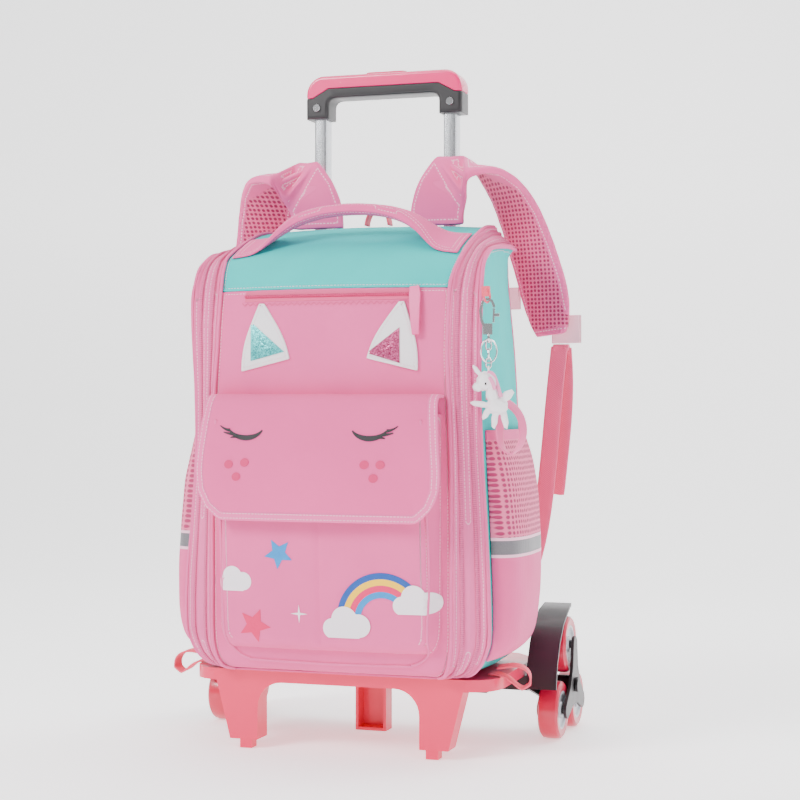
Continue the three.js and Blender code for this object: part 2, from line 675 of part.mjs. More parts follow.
// Side pocket: a net upper part over a cloth foot, swelling between the outer piping and the back edge
const NET_ROWS = [
  { up: 0.0, swell: 0.0 },
  { up: 0.03, swell: 0.42 },
  { up: 0.066, swell: 0.68 },
  { up: 0.15, swell: 0.87 },
  { up: 0.38, swell: 0.98 },
  { up: 0.6, swell: 1.0 },
  { up: 0.78, swell: 0.88 },
  { up: 0.9, swell: 0.58 },
  { up: 1.0, swell: 0.28 },
];
const NET_ACROSS = [
  { across: 0.07, swell: 0.02 },
  { across: 0.12, swell: 0.58 },
  { across: 0.2, swell: 0.9 },
  { across: 0.5, swell: 1.0 },
  { across: 0.8, swell: 1.0 },
  { across: 0.93, swell: 0.65 },
  { across: 0.985, swell: 0.0 },
];

function netSurface(inset) {
  return NET_ROWS.map(({ up, swell: tall }) => {
    const r = rowAtHeight(bagBase + NET_BASE + NET_HEIGHT * up);
    return NET_ACROSS.map(({ across, swell: wide }) => {
      const out = SEAT + NET_SWELL * tall * wide + NET_WALL - inset;
      return onSkin(r, gussetLast + across * SIDE_STEPS, out);
    });
  });
}

// Carrying handle: flat ends sewn down beside the inner piping, folded thicker and narrower in the arch
const HANDLE_ROWS = [
  { along: 0.96, rise: 0.0, share: 1.0, thick: 0.2 },
  { along: 0.83, rise: 0.0, share: 0.98, thick: 0.22 },
  { along: 0.73, rise: 0.05, share: 0.9, thick: 0.4 },
  { along: 0.6, rise: 0.36, share: 0.62, thick: 1.1 },
  { along: 0.44, rise: 0.72, share: 0.5, thick: 1.15 },
  { along: 0.22, rise: 0.94, share: 0.48, thick: 1.0 },
  { along: 0.0, rise: 1.0, share: 0.48, thick: 1.0 },
];
const HANDLE_ACROSS = [
  { across: -1, low: 0.3, high: 0.7 },
  { across: -0.7, low: 0.04, high: 0.96 },
  { across: 0, low: 0, high: 1 },
  { across: 0.7, low: 0.04, high: 0.96 },
  { across: 1, low: 0.3, high: 0.7 },
];

function addCarryHandle() {
  const middle = HANDLE_PLACE - BAG_OVERHANG;
  const stations = [...HANDLE_ROWS.map((row) => ({ ...row, along: -row.along })), ...HANDLE_ROWS.slice(0, -1).reverse()];
  const half = onSkin(rowAtDepth(middle), frontLast, 0).x;
  const peak = onTop(0, middle, HANDLE_RISE).z;
  const surface = (side) =>
    stations.map(({ along, rise, share, thick }) =>
      HANDLE_ACROSS.map((edge) => {
        const seat = onTop(along * half, middle + ((edge.across * HANDLE_WIDTH) / 2) * share, SEAT);
        return seat.setZ(mix(seat.z, peak, rise) + edge[side] * thick * HANDLE_THICK);
      }),
    );
  add("carry_handle", wallBetween(surface("high"), surface("low")), ROSE);
}

// Shoulder strap: up from the top, over and outwards past the pull handle, and down behind the side.
// out counts half bag widths, back counts bag depths from the front, up counts bag heights;
// turn is the way its width points in plan and lean how far that tips, in degrees.
const STRAP_ROWS = [
  { out: 0.419, back: 0.89, up: 1.002, turn: 0, lean: 0, share: 1 },
  { out: 0.419, back: 0.89, up: 1.04, turn: 0, lean: 0, share: 1 },
  { out: 0.463, back: 0.872, up: 1.082, turn: -4, lean: -6, share: 1 },
  { out: 0.531, back: 0.854, up: 1.113, turn: -18, lean: -12, share: 1 },
  { out: 0.631, back: 0.829, up: 1.133, turn: -42, lean: -12, share: 1 },
  { out: 0.75, back: 0.896, up: 1.131, turn: -46, lean: -6, share: 1 },
  { out: 0.844, back: 1.024, up: 1.093, turn: -36, lean: 0, share: 1 },
  { out: 0.912, back: 1.146, up: 1.034, turn: -26, lean: 0, share: 1 },
  { out: 0.975, back: 1.232, up: 0.95, turn: -20, lean: 0, share: 1 },
  { out: 1.038, back: 1.274, up: 0.869, turn: -18, lean: 0, share: 1 },
  { out: 1.075, back: 1.293, up: 0.803, turn: -17, lean: 0, share: 0.96 },
  { out: 1.094, back: 1.299, up: 0.75, turn: -17, lean: 0, share: 0.62 },
];

function bagPlace(out, back, up) {
  return at((out * BAG_WIDTH) / 2, BAG_DEPTH * back - BAG_OVERHANG, bagBase + BAG_HEIGHT * up);
}

function widthWay(turn, lean) {
  const flat = Math.cos(rad(lean));
  return at(Math.cos(rad(turn)) * flat, Math.sin(rad(turn)) * flat, Math.sin(rad(lean)));
}

function shoulderStrap() {
  const stations = STRAP_ROWS.map(({ out, back, up, turn, lean, share }) => ({
    place: bagPlace(out, back, up),
    width: widthWay(turn, lean),
    share,
  }));
  return ribbon(stations, STRAP_WIDTH, STRAP_THICK);
}

// Webbing below the strap: a strand back to the bag's lower corner, and a free tail
const STRAND_ROWS = [
  { out: 1.131, back: 1.366, up: 0.722, turn: -17 },
  { out: 1.087, back: 1.366, up: 0.577, turn: -16 },
  { out: 1.062, back: 1.317, up: 0.412, turn: -12 },
  { out: 1.025, back: 1.22, up: 0.258, turn: -8 },
  { out: 0.938, back: 1.098, up: 0.148, turn: -3 },
  { out: 0.863, back: 1.042, up: 0.087, turn: 0 },
];
const TAIL_ROWS = [
  { out: 1.15, back: 1.409, up: 0.72, turn: -17 },
  { out: 1.163, back: 1.421, up: 0.645, turn: -20 },
  { out: 1.156, back: 1.415, up: 0.553, turn: -22 },
  { out: 1.131, back: 1.396, up: 0.456, turn: -22 },
  { out: 1.106, back: 1.39, up: 0.372, turn: -20 },
];

function webbing() {
  const band = (rows) =>
    ribbon(rows.map(({ out, back, up, turn }) => ({ place: bagPlace(out, back, up), width: widthWay(turn, 0) })),
      WEBBING_WIDTH, WEBBING_THICK);
  const [strand, tail] = [STRAND_ROWS[0], TAIL_ROWS[0]].map(({ out, back, up }) => bagPlace(out, back, up));
  const fold = block(strand.x - 7, tail.x + 7, strand.y - 1, tail.y + 1, strand.z - 4, strand.z + 3);
  return joined([band(STRAND_ROWS), band(TAIL_ROWS), fold]);
}

function addStraps() {
  addPair("shoulder_strap", shoulderStrap(), ROSE);
  addPair("strap_webbing", webbing(), WEBBING_ROSE);
  const tip = bagPlace(1.19, 1.326, 0.763);
  const buckle = block(-BUCKLE_WIDTH / 2, BUCKLE_WIDTH / 2, -2.5, 2.5, -BUCKLE_HEIGHT / 2, BUCKLE_HEIGHT / 2);
  addPair("adjuster_buckle", buckle.rotateZ(rad(-17)).translate(tip.x, tip.y, tip.z), CLIP_PINK, 0.3);
  const hold = bagPlace(0.811, 1.356, 0.838);
  const clip = block(-CLIP_WIDTH / 2, CLIP_WIDTH / 2, -3, 3, -CLIP_HEIGHT / 2, CLIP_HEIGHT / 2);
  addPair("chest_clip", clip.rotateZ(rad(-18)).translate(hold.x, hold.y, hold.z), CLIP_PINK, 0.3);
}

// A standing loop of webbing: an arch in the plane of its own foot line
function webbingLoop(foot, way, span, rise, width) {
  const steps = 8;
  const stations = [];
  for (let i = 0; i <= steps; i++) {
    const turn = Math.PI * (i / steps);
    const place = foot.clone().addScaledVector(way, (-Math.cos(turn) * span) / 2).add(at(0, 0, Math.sin(turn) * rise));
    stations.push({ place, width: way.clone().cross(at(0, 0, 1)) });
  }
  return ribbon(stations, width, WEBBING_THICK);
}

function addLoops() {
  const hangAt = onTop(0, bagBack - 12, GAP + 1.2);
  add("hang_loop", webbingLoop(hangAt, at(1, 0, 0), 26, 18, LOOP_WIDTH), WEBBING_ROSE);
  const rows = [
    { out: 0.931, back: 0.341, up: 0.001 },
    { out: 1, back: 0.335, up: 0.001 },
    { out: 1.062, back: 0.335, up: -0.007 },
    { out: 1.1, back: 0.335, up: -0.021 },
    { out: 1.144, back: 0.335, up: -0.029 },
    { out: 1.188, back: 0.341, up: -0.019 },
    { out: 1.194, back: 0.348, up: -0.001 },
    { out: 1.163, back: 0.354, up: 0.014 },
    { out: 1.1, back: 0.36, up: 0.021 },
    { out: 1.031, back: 0.366, up: 0.017 },
    { out: 0.975, back: 0.366, up: 0.013 },
  ];
  const loop = rows.map(({ out, back, up }) => ({ place: bagPlace(out, back, up), width: at(-0.25, 1, 0.15) }));
  addPair("tie_loop", ribbon(loop, 12, WEBBING_THICK), WEBBING_ROSE);
}

// Tray with its two channel legs, the rear leg and the sockets of the tubes, moulded in one
function trayPlan(inset) {
  const front = TRAY_FRONT_WIDTH / 2 - inset;
  const side = TRAY_WIDTH / 2 - inset;
  const back = TRAY_DEPTH - inset;
  const shape = new THREE.Shape();
  shape.moveTo(-front, inset).lineTo(front, inset);
  shape.quadraticCurveTo(side, inset + 4, side, inset + 40);
  shape.lineTo(side, TRAY_DEPTH * 0.55);
  shape.quadraticCurveTo(side, back, side * 0.72, back);
  shape.lineTo(-side * 0.72, back);
  shape.quadraticCurveTo(-side, back, -side, TRAY_DEPTH * 0.55);
  shape.lineTo(-side, inset + 40);
  shape.quadraticCurveTo(-side, inset + 4, -front, inset);
  return shape;
}

function legFace() {
  const inner = LEG_SPACING / 2 - LEG_WIDTH / 2;
  const outer = LEG_SPACING / 2 + LEG_WIDTH / 2;
  const apron = TRAY_TOP - TRAY_LIP;
  const shape = new THREE.Shape();
  shape.moveTo(inner, FOOT_CLEAR).lineTo(outer, FOOT_CLEAR).lineTo(outer + LEG_SLANT, apron);
  shape.lineTo(outer + LEG_SLANT, TRAY_TOP - 1).lineTo(-outer - LEG_SLANT, TRAY_TOP - 1);
  shape.lineTo(-outer - LEG_SLANT, apron).lineTo(-outer, FOOT_CLEAR).lineTo(-inner, FOOT_CLEAR);
  shape.lineTo(-inner, apron - ARCH_RADIUS);
  shape.absarc(-inner + ARCH_RADIUS, apron - ARCH_RADIUS, ARCH_RADIUS, Math.PI, Math.PI / 2, true);
  shape.absarc(inner - ARCH_RADIUS, apron - ARCH_RADIUS, ARCH_RADIUS, Math.PI / 2, 0, true);
  return shape;
}

function channelLeg() {
  const inner = LEG_SPACING / 2 - LEG_WIDTH / 2;
  const outer = LEG_SPACING / 2 + LEG_WIDTH / 2;
  const under = TRAY_TOP - TRAY_WALL + 0.5;
  const slope = LEG_SLANT / (TRAY_TOP - TRAY_LIP - FOOT_CLEAR);
  const reach = outer + slope * (under - FOOT_CLEAR);
  const slanted = polygon([
    [outer - TRAY_WALL, FOOT_CLEAR], [outer, FOOT_CLEAR], [reach, under], [reach - TRAY_WALL, under],
  ]);
  const nubMiddle = inner + NUB_WIDTH;
  return [
    frontSlab(slanted, 0, LEG_DEPTH),
    block(inner, inner + TRAY_WALL, 0, LEG_DEPTH, FOOT_CLEAR, under),
    block(inner, outer, 0, LEG_DEPTH, FOOT_CLEAR, FOOT_CLEAR + TRAY_WALL),
    block(nubMiddle - NUB_WIDTH / 2, nubMiddle + NUB_WIDTH / 2, NUB_SETBACK, NUB_SETBACK + NUB_WIDTH, 0, FOOT_CLEAR + 1),
  ];
}

function rearLeg() {
  const half = REAR_LEG_WIDTH / 2;
  const y0 = REAR_LEG_PLACE;
  const y1 = REAR_LEG_PLACE + REAR_LEG_DEPTH;
  const under = TRAY_TOP - TRAY_WALL + 0.5;
  return [
    block(-half, half, y1 - TRAY_WALL, y1, REAR_LEG_CLEAR, under),
    block(-half, -half + TRAY_WALL, y0, y1, REAR_LEG_CLEAR, under),
    block(half - TRAY_WALL, half, y0, y1, REAR_LEG_CLEAR, under),
    block(-half, half, y0, y1, REAR_LEG_CLEAR, REAR_LEG_CLEAR + TRAY_WALL),
  ];
}

// Room for an outer tube, open towards the bag
function tubePocket(hand, z0, z1) {
  const x = (hand * TUBE_SPACING) / 2;
  const half = outerWidth / 2 + GAP;
  return block(x - half, x + half, backFace - 1, tubeBack + outerDepth / 2 + GAP, z0, z1);
}

function tubeSocket(hand) {
  const x = (hand * TUBE_SPACING) / 2;
  const half = outerWidth / 2 + GAP + TRAY_WALL;
  const back = tubeBack + outerDepth / 2 + GAP + TRAY_WALL;
  return block(x - half, x + half, backFace + GAP, back, TRAY_TOP - 1, TRAY_TOP + SOCKET_HEIGHT);
}

function addTray() {
  const lipLow = TRAY_TOP - TRAY_LIP;
  const pan = cut(plate(trayPlan(0), lipLow, TRAY_TOP), [plate(trayPlan(TRAY_WALL), lipLow - 1, TRAY_TOP - TRAY_WALL)]);
  const legs = channelLeg();
  const whole = joined([
    pan, frontSlab(legFace(), 0, TRAY_WALL), ...legs, ...legs.map(mirrored), ...rearLeg(), tubeSocket(1), tubeSocket(-1),
  ]);
  const room = [1, -1].map((hand) => tubePocket(hand, TRAY_TOP, TRAY_TOP + SOCKET_HEIGHT + 1));
  add("base_tray", cut(whole, room), TRAY_PINK, 0.35);
}

// Pull handle: two fixed outer tubes, two sliding tubes and a two-shell grip with a release button
function tube(hand, width, depth, wall, z0, z1) {
  const shape = roundedRectangle(width, depth, 3);
  shape.holes.push(roundedRectangle(width - 2 * wall, depth - 2 * wall, 3 - wall / 2));
  const options = { depth: z1 - z0, bevelEnabled: false, curveSegments: 1 };
  return new THREE.ExtrudeGeometry(shape, options).translate((hand * TUBE_SPACING) / 2, tubeBack, z0);
}

function gripOutline() {
  const half = GRIP_WIDTH / 2;
  const inner = half - GRIP_LEG;
  const under = GRIP_TOP - GRIP_BRIDGE;
  const shape = new THREE.Shape();
  shape.moveTo(-half, gripBottom).lineTo(-inner, gripBottom).lineTo(-inner, under - 8);
  shape.quadraticCurveTo(-inner, under, -inner + 10, under);
  shape.lineTo(inner - 10, under).quadraticCurveTo(inner, under, inner, under - 8);
  shape.lineTo(inner, gripBottom).lineTo(half, gripBottom).lineTo(half, GRIP_TOP - GRIP_ROUND);
  shape.absarc(half - GRIP_ROUND, GRIP_TOP - GRIP_ROUND, GRIP_ROUND, 0, Math.PI / 2);
  shape.absarc(-half + GRIP_ROUND, GRIP_TOP - GRIP_ROUND, GRIP_ROUND, Math.PI / 2, Math.PI);
  return shape;
}

function addGrip() {
  const y0 = tubeBack - GRIP_DEPTH / 2;
  const y1 = tubeBack + GRIP_DEPTH / 2;
  const seam = GRIP_TOP - SHELL_HEIGHT;
  const seamEnd = GRIP_TOP - SHELL_END;
  const half = GRIP_WIDTH / 2;
  const far = half + 5;
  const parting = (lift, limit) => {
    const line = [[far, seamEnd], [half - 8, seamEnd], [half - GRIP_LEG, seam], [GRIP_LEG - half, seam], [8 - half, seamEnd], [-far, seamEnd]];
    return frontSlab(polygon([[-far, limit], [far, limit], ...line.map(([x, z]) => [x, z + lift])]), y0 - 1, y1 + 1);
  };
  const whole = frontSlab(gripOutline(), y0, y1, 4);
  const pockets = [1, -1].map((hand) => {
    const x = (hand * TUBE_SPACING) / 2;
    const w = TUBE_WIDTH / 2 + GAP;
    const d = TUBE_DEPTH / 2 + GAP;
    return block(x - w, x + w, tubeBack - d, tubeBack + d, gripBottom - 1, gripBottom + GRIP_SOCKET + GAP);
  });
  add("grip_lower", cut(whole, [parting(-GAP, GRIP_TOP + 1), ...pockets]), BLACK, 0.5);
  const buttonLow = seam + 2 + GAP + BUTTON_TRAVEL;
  const length = BUTTON_LENGTH / 2;
  const width = BUTTON_WIDTH / 2;
  const well = block(-length - GAP, length + GAP, tubeBack - width - GAP, tubeBack + width + GAP, seam + 2, GRIP_TOP + 1);
  add("grip_upper", cut(whole, [parting(0, gripBottom - 1), well]), GRIP_PINK, 0.45);
  const button = roundedRectangle(BUTTON_LENGTH, BUTTON_WIDTH, width - 0.5);
  add("release_button", plate(button, buttonLow, GRIP_TOP + BUTTON_RISE).translate(0, tubeBack, 0), GRIP_PINK, 0.45);
  const screw = new THREE.CylinderGeometry(SCREW_RADIUS, SCREW_RADIUS, 1.4, 12);
  screw.translate(TUBE_SPACING / 2 + 2, y0 - GAP - 0.7, gripBottom + GRIP_SOCKET);
  addPair("grip_screw", screw, SILVER, 0.3, 1);
}

function addHandle() {
  const outerTop = TRAY_TOP + GAP + OUTER_LENGTH;
  const innerTop = gripBottom + GRIP_SOCKET;
  addPair("outer_tube", tube(1, outerWidth, outerDepth, OUTER_WALL, TRAY_TOP + GAP, outerTop), SILVER, 0.3, 0.9);
  addPair("inner_tube", tube(1, TUBE_WIDTH, TUBE_DEPTH, TUBE_WALL, innerTop - INNER_LENGTH, innerTop), SILVER, 0.3, 0.9);
  const x = TUBE_SPACING / 2 + outerWidth / 2 + GAP + TRAY_WALL;
  const back = tubeBack + outerDepth / 2 + GAP + TRAY_WALL;
  const bar = block(-x, x, backFace + GAP, back, outerTop - BRACKET_HEIGHT - 4, outerTop - 4);
  const room = [1, -1].map((hand) => tubePocket(hand, outerTop - BRACKET_HEIGHT - 5, outerTop));
  add("tube_bracket", cut(bar, room), BLACK, 0.5);
  addGrip();
}

// Wheel on the X axis, a flat of its tread down
function wheel() {
  const w = WHEEL_WIDTH / 2;
  const bore = PIN_RADIUS + RUN;
  const profile = [
    [bore, -0.82], [0.62, -0.6], [0.8, -1], [1, -0.42], [1, 0.42], [0.8, 1], [0.62, 0.6],
    [bore, 0.82], [bore, -0.82],
  ].map(([r, x]) => new THREE.Vector2(r > 1 ? r : r * WHEEL_RADIUS, x * w));
  const geometry = new THREE.LatheGeometry(profile, WHEEL_SIDES, Math.PI / WHEEL_SIDES);
  return geometry.rotateZ(-Math.PI / 2);
}

// Places of the three wheels round the axle, as seen from the right: front, rear, top
const SPIDER_ARMS = [
  { name: "front", turn: 210 },
  { name: "rear", turn: 330 },
  { name: "top", turn: 90 },
];

function wheelPlace(turn) {
  return [AXLE_BACK + armLength * Math.cos(rad(turn)), axleHeight + armLength * Math.sin(rad(turn))];
}

function spiderPlate(x0, x1) {
  const shape = new THREE.Shape();
  SPIDER_ARMS.map(({ turn }) => turn).sort((a, b) => a - b).forEach((turn, i) => {
    const [y, z] = wheelPlace(turn);
    if (i === 0) shape.moveTo(y + SPIDER_LOBE * Math.cos(rad(turn - 90)), z + SPIDER_LOBE * Math.sin(rad(turn - 90)));
    shape.absarc(y, z, SPIDER_LOBE, rad(turn - 90), rad(turn + 90));
    const waist = [AXLE_BACK + HUB_RADIUS * Math.cos(rad(turn + 60)), axleHeight + HUB_RADIUS * Math.sin(rad(turn + 60))];
    const [ny, nz] = wheelPlace(turn + 120);
    const end = [ny + SPIDER_LOBE * Math.cos(rad(turn + 30)), nz + SPIDER_LOBE * Math.sin(rad(turn + 30))];
    shape.quadraticCurveTo(...waist, ...end);
  });
  return sideSlab(shape, x0, x1);
}

function spider() {
  const far = spiderOut + SPIDER_PLATE;
  const body = joined([
    spiderPlate(spiderIn, spiderIn + SPIDER_PLATE),
    spiderPlate(spiderOut, far),
    rod(HUB_RADIUS, spiderIn, far, AXLE_BACK, axleHeight),
    ...SPIDER_ARMS.map(({ turn }) => rod(PIN_RADIUS, spiderIn, far, ...wheelPlace(turn), 8)),
  ]);
  return cut(body, [rod(AXLE_RADIUS + RUN, spiderIn - 1, far + 1, AXLE_BACK, axleHeight)]);
}

function addWheels() {
  addPair("wheel_spider", spider(), BLACK, 0.5);
  for (const { name, turn } of SPIDER_ARMS) {
    const [y, z] = wheelPlace(turn);
    addPair(`wheel_${name}`, wheel().translate(WHEEL_TRACK / 2, y, z), TYRE_RED, 0.4);
  }
}

// Axle: a square beam, the two saddles that hang it from the tray, and a pin with a cap at each end
const guardIn = spiderIn - RUN - GUARD_WALL;
const beamEnd = guardIn - GAP;

function addAxle() {
  const y0 = AXLE_BACK - BEAM / 2;
  const y1 = AXLE_BACK + BEAM / 2;
  const capIn = spiderOut + SPIDER_PLATE + RUN;
  const half = [
    rod(AXLE_RADIUS, beamEnd - 5, capIn + 2, AXLE_BACK, axleHeight),
    rod(AXLE_RADIUS + 3, capIn, capIn + 3, AXLE_BACK, axleHeight),
    block(BRACKET_SPACING / 2 - BRACKET_WIDTH / 2, BRACKET_SPACING / 2 + BRACKET_WIDTH / 2,
      y0 - 12, y1 + 2, axleHeight - BEAM / 2 - 3, TRAY_TOP - TRAY_WALL - GAP),
  ];
  const beam = block(-beamEnd, beamEnd, y0, y1, axleHeight - BEAM / 2, axleHeight + BEAM / 2);
  add("axle_beam", joined([beam, ...half, ...half.map(mirrored)]), BLACK, 0.5);
}

// Mudguard: a web beside the spider that carries a shell over the front and top of its sweep.
// turn is the angle from the rear about the axle; radius counts the swept radius.
const GUARD_ROWS = [
  { turn: 176, radius: 1.0, wide: 1.0 },
  { turn: 158, radius: 1.0, wide: 1.0 },
  { turn: 140, radius: 1.01, wide: 1.0 },
  { turn: 122, radius: 1.04, wide: 1.0 },
  { turn: 104, radius: 1.07, wide: 1.0 },
  { turn: 86, radius: 1.1, wide: 0.92 },
  { turn: 70, radius: 1.13, wide: 0.72 },
  { turn: 57, radius: 1.2, wide: 0.4 },
];

function addMudguards() {
  const swept = armLength + WHEEL_RADIUS + GUARD_CLEAR;
  const full = WHEEL_TRACK / 2 + WHEEL_WIDTH / 2 + 2 - guardIn;
  const rings = GUARD_ROWS.map(({ turn, radius, wide }) => {
    const point = (x, out) => {
      const reach = swept * radius + out;
      return at(guardIn + x, AXLE_BACK + reach * Math.cos(rad(turn)), axleHeight + reach * Math.sin(rad(turn)));
    };
    return [point(0, 0), point(full * wide, 0), point(full * wide, GUARD_WALL), point(0, GUARD_WALL)];
  });
  const rim = GUARD_ROWS.map(({ turn, radius }) => {
    const reach = swept * radius + 1;
    return [AXLE_BACK + reach * Math.cos(rad(turn)), axleHeight + reach * Math.sin(rad(turn))];
  });
  const foot = [[AXLE_BACK + 16, axleHeight - 13], [AXLE_BACK - 16, axleHeight - 13]];
  const web = sideSlab(polygon([...rim, ...foot]), guardIn, guardIn + GUARD_WALL);
  const hole = rod(AXLE_RADIUS + GAP, guardIn - 1, guardIn + GUARD_WALL + 1, AXLE_BACK, axleHeight);
  addPair("mudguard", cut(joined([loft(rings), web]), [hole]), BLACK, 0.5);
}

// Key ring in one hanging plane turned towards the right front. Along it x runs to the right and z up
// from the tab: a webbing tab with a ring, a lobster clasp, a key ring and a chain side by side in the
// clasp's eye, and a toy pony with a wrist loop under the chain.
const HANG_TURN = 18;
const HANG = at(161.3, -16, 455);

function hung(geometry) {
  return geometry.rotateZ(rad(HANG_TURN)).translate(HANG.x, HANG.y, HANG.z);
}

// Round or oval ring of wire in the hanging plane, turned about the vertical
function wireRing(half, wire, place, tall = half, turn = 0, sides = 12) {
  const bend = (angle, out) => at((half + out) * Math.cos(angle), 0, (tall + out) * Math.sin(angle));
  const rings = [];
  for (let i = 0; i <= sides; i++) {
    const angle = (2 * Math.PI * i) / sides;
    const middle = bend(angle, 0);
    const outward = bend(angle, 1).sub(middle).normalize();
    const corners = [];
    for (let k = 0; k < 5; k++) {
      const around = (2 * Math.PI * k) / 5;
      const corner = middle.clone().addScaledVector(outward, wire * Math.cos(around));
      corners.push(corner.add(at(0, wire * Math.sin(around), 0)));
    }
    rings.push(corners);
  }
  const points = rings.slice(0, -1).flat();
  const triangles = [];
  for (let i = 0; i < sides; i++) {
    const next = (i + 1) % sides;
    for (let k = 0; k < 5; k++) {
      const l = (k + 1) % 5;
      triangles.push([i * 5 + k, i * 5 + l, next * 5 + l], [i * 5 + k, next * 5 + l, next * 5 + k]);
    }
  }
  return closedGeometry(points, triangles).rotateZ(rad(turn)).translate(place.x, place.y, place.z);
}

function addClasp() {
  const tab = ribbon([
    { place: at(-6, 7.6, 4), width: at(0, 0, 1) },
    { place: at(-3, 3, 4), width: at(0, 0, 1) },
    { place: at(1, 0.5, 4), width: at(0, 0, 1) },
  ], TAB_WIDTH, 3);
  add("key_tab", hung(joined([tab, wireRing(TAB_RING, RING_WIRE, at(-1.5, 0, -0.7), TAB_RING, 60)])), WEBBING_ROSE);
  const hook = [[-4.5, -30], [-6.8, -24], [-8, -15], [-5.8, -6.4], [-1.5, -3.4], [3, -5.3], [5, -9.8], [5.2, -11.8]];
  const wire = hook.map(([x, z]) => ({ place: at(x, 0, z), width: at(0, 1, 0) }));
  const body = block(-5.5, 3.6, -2.5, 2.5, -38, -27.2);
  const eye = wireRing(EYE_RING, RING_WIRE, at(0, 0, EYE_PLACE), EYE_RING, 90);
  add("lobster_clasp", hung(joined([ribbon(wire, CLASP_WIRE, CLASP_WIRE), body, eye])), SILVER, 0.2, 1);
  const lever = ribbon([
    { place: at(4.6, 0, LEVER_PIVOT - 0.8), width: at(0, 1, 0) },
    { place: at(5.2, 0, -12.5), width: at(0, 1, 0) },
  ], 2.2, 2);
  add("clasp_lever", hung(joined([lever, block(5, 10.5, -1.1, 1.1, -20.5, -17.5)])), SILVER, 0.2, 1);
}

// The key ring and the chain's first link run side by side through the clasp's eye
const besideRing = at(0, -1.35, 0);
const besideLink = at(0, 1.35, 0);
const hookUp = EYE_PLACE - 1;
const linkPitch = 2 * LINK_HALF - 2 * LINK_WIRE - GAP;
const linkPlace = (n) => hookUp - LINK_HALF - n * linkPitch;
const charmLoop = linkPlace(2) - LINK_HALF + LINK_WIRE + RING_WIRE + GAP - LOOP_RING;

function addChain() {
  const ring = besideRing.clone().setZ(hookUp - RING_HALF);
  add("key_ring", hung(wireRing(RING_ACROSS, LINK_WIRE, ring, RING_HALF, 0, 14)), SILVER, 0.2, 1);
  [0, 90, 0].forEach((turn, n) => {
    const link = wireRing(LINK_ACROSS, LINK_WIRE, besideLink.clone().setZ(linkPlace(n)), LINK_HALF, turn, 10);
    add(`chain_link_${n + 1}`, hung(link), SILVER, 0.2, 1);
  });
}

// Toy pony: each row is one swelling of its body, with its place, half sizes and lean in the hanging plane
const PONY = [
  { x: -4, z: -83, across: 8.5, deep: 7.5, up: 10, lean: 20 },
  { x: -10.5, z: -88.5, across: 5.5, deep: 5, up: 5, lean: 0 },
  { x: 3.5, z: -84, across: 5.5, deep: 6, up: 9.5, lean: -8 },
  { x: 3.5, z: -96, across: 6.5, deep: 5.5, up: 12, lean: -12 },
  { x: 8, z: -107, across: 12, deep: 7.5, up: 8.5, lean: 0 },
  { x: -8, z: -105, across: 11, deep: 3.2, up: 3.4, lean: 8 },
  { x: -1.5, z: -113, across: 3.4, deep: 3.2, up: 9, lean: 32 },
  { x: 6, z: -119, across: 3.6, deep: 3.2, up: 11, lean: 6 },
  { x: 15.5, z: -118.5, across: 3.6, deep: 3.2, up: 12, lean: -10 },
  { x: 17, z: -97.5, across: 10, deep: 2.8, up: 5, lean: -38 },
  { x: -11, z: -73, across: 2.6, deep: 2.6, up: 8, lean: -36 },
  { x: -3.5, z: -76.3, across: 3.6, deep: 2.4, up: 4, lean: -20 },
];

function addCharm() {
  const swellings = PONY.map(({ x, z, across, deep, up, lean }) => {
    const ball = new THREE.SphereGeometry(1, 7, 4).scale(across, deep, up).rotateY(rad(lean));
    return ball.translate(x, besideLink.y, z);
  });
  const loop = wireRing(LOOP_RING, RING_WIRE, besideLink.clone().setZ(charmLoop), LOOP_RING, 90, 10);
  const stem = new THREE.CylinderGeometry(2, 2.6, 7, 8).rotateX(Math.PI / 2);
  stem.rotateX(Math.PI / 2).translate(0.5, besideLink.y, charmLoop - LOOP_RING - 3);
  add("charm", hung(joined([...swellings, stem, loop])), SATIN, 0.45);
}

// Wrist loop: a soft band that hangs behind the toy and turns back on itself
const WRIST_ROWS = [
  { x: 3, y: 11.4, z: -97, turn: 12 },
  { x: 14, y: 11.6, z: -101, turn: 20 },
  { x: 26, y: 11, z: -108, turn: 32 },
  { x: 33, y: 10.5, z: -119, turn: 40 },
  { x: 35, y: 9.5, z: -133, turn: 40 },
  { x: 31, y: 8.5, z: -147, turn: 50 },
  { x: 23, y: 8, z: -154, turn: 70 },
  { x: 14.5, y: 8.5, z: -150, turn: 60 },
  { x: 11, y: 10, z: -139, turn: 45 },
  { x: 12, y: 12.5, z: -126, turn: 35 },
  { x: 10, y: 15.2, z: -112, turn: 25 },
  { x: 5, y: 15.4, z: -100, turn: 15 },
];

function addWristLoop() {
  const band = WRIST_ROWS.map(({ x, y, z, turn }) => ({ place: at(x, y, z), width: at(Math.cos(rad(turn)), Math.sin(rad(turn)), 0) }));
  const end = block(-2, 8, 10.4, 16.4, -101, -96);
  add("wrist_loop", hung(joined([ribbon(band, WRIST_WIDTH, 1.8), end])), WEBBING_ROSE);
}

addBagShell();
addBackAndBottom();
addPockets();
addFrontTrim();
addPair("side_pocket", wallBetween(netSurface(0), netSurface(NET_WALL)), NET_ROSE);
addCarryHandle();
addStraps();
addLoops();
addTray();
addHandle();
addAxle();
addWheels();
addMudguards();
addClasp();
addChain();
addCharm();
addWristLoop();

// The origin is under the middle of the whole, on the floor
bag.updateMatrixWorld(true);
const whole = new THREE.Box3().setFromObject(bag);
const middle = whole.getCenter(at(0, 0, 0));
bag.position.set(-middle.x, -middle.y, -whole.min.z);
bag.updateMatrixWorld(true);

export default bag;
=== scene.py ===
"""Child's wheeled backpack: pink padded cloth on a moulded tray, pull handle, stair wheels and a key ring."""
import json
import math
import bmesh
import bpy
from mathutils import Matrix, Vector, kdtree, noise
from mathutils.bvhtree import BVHTree


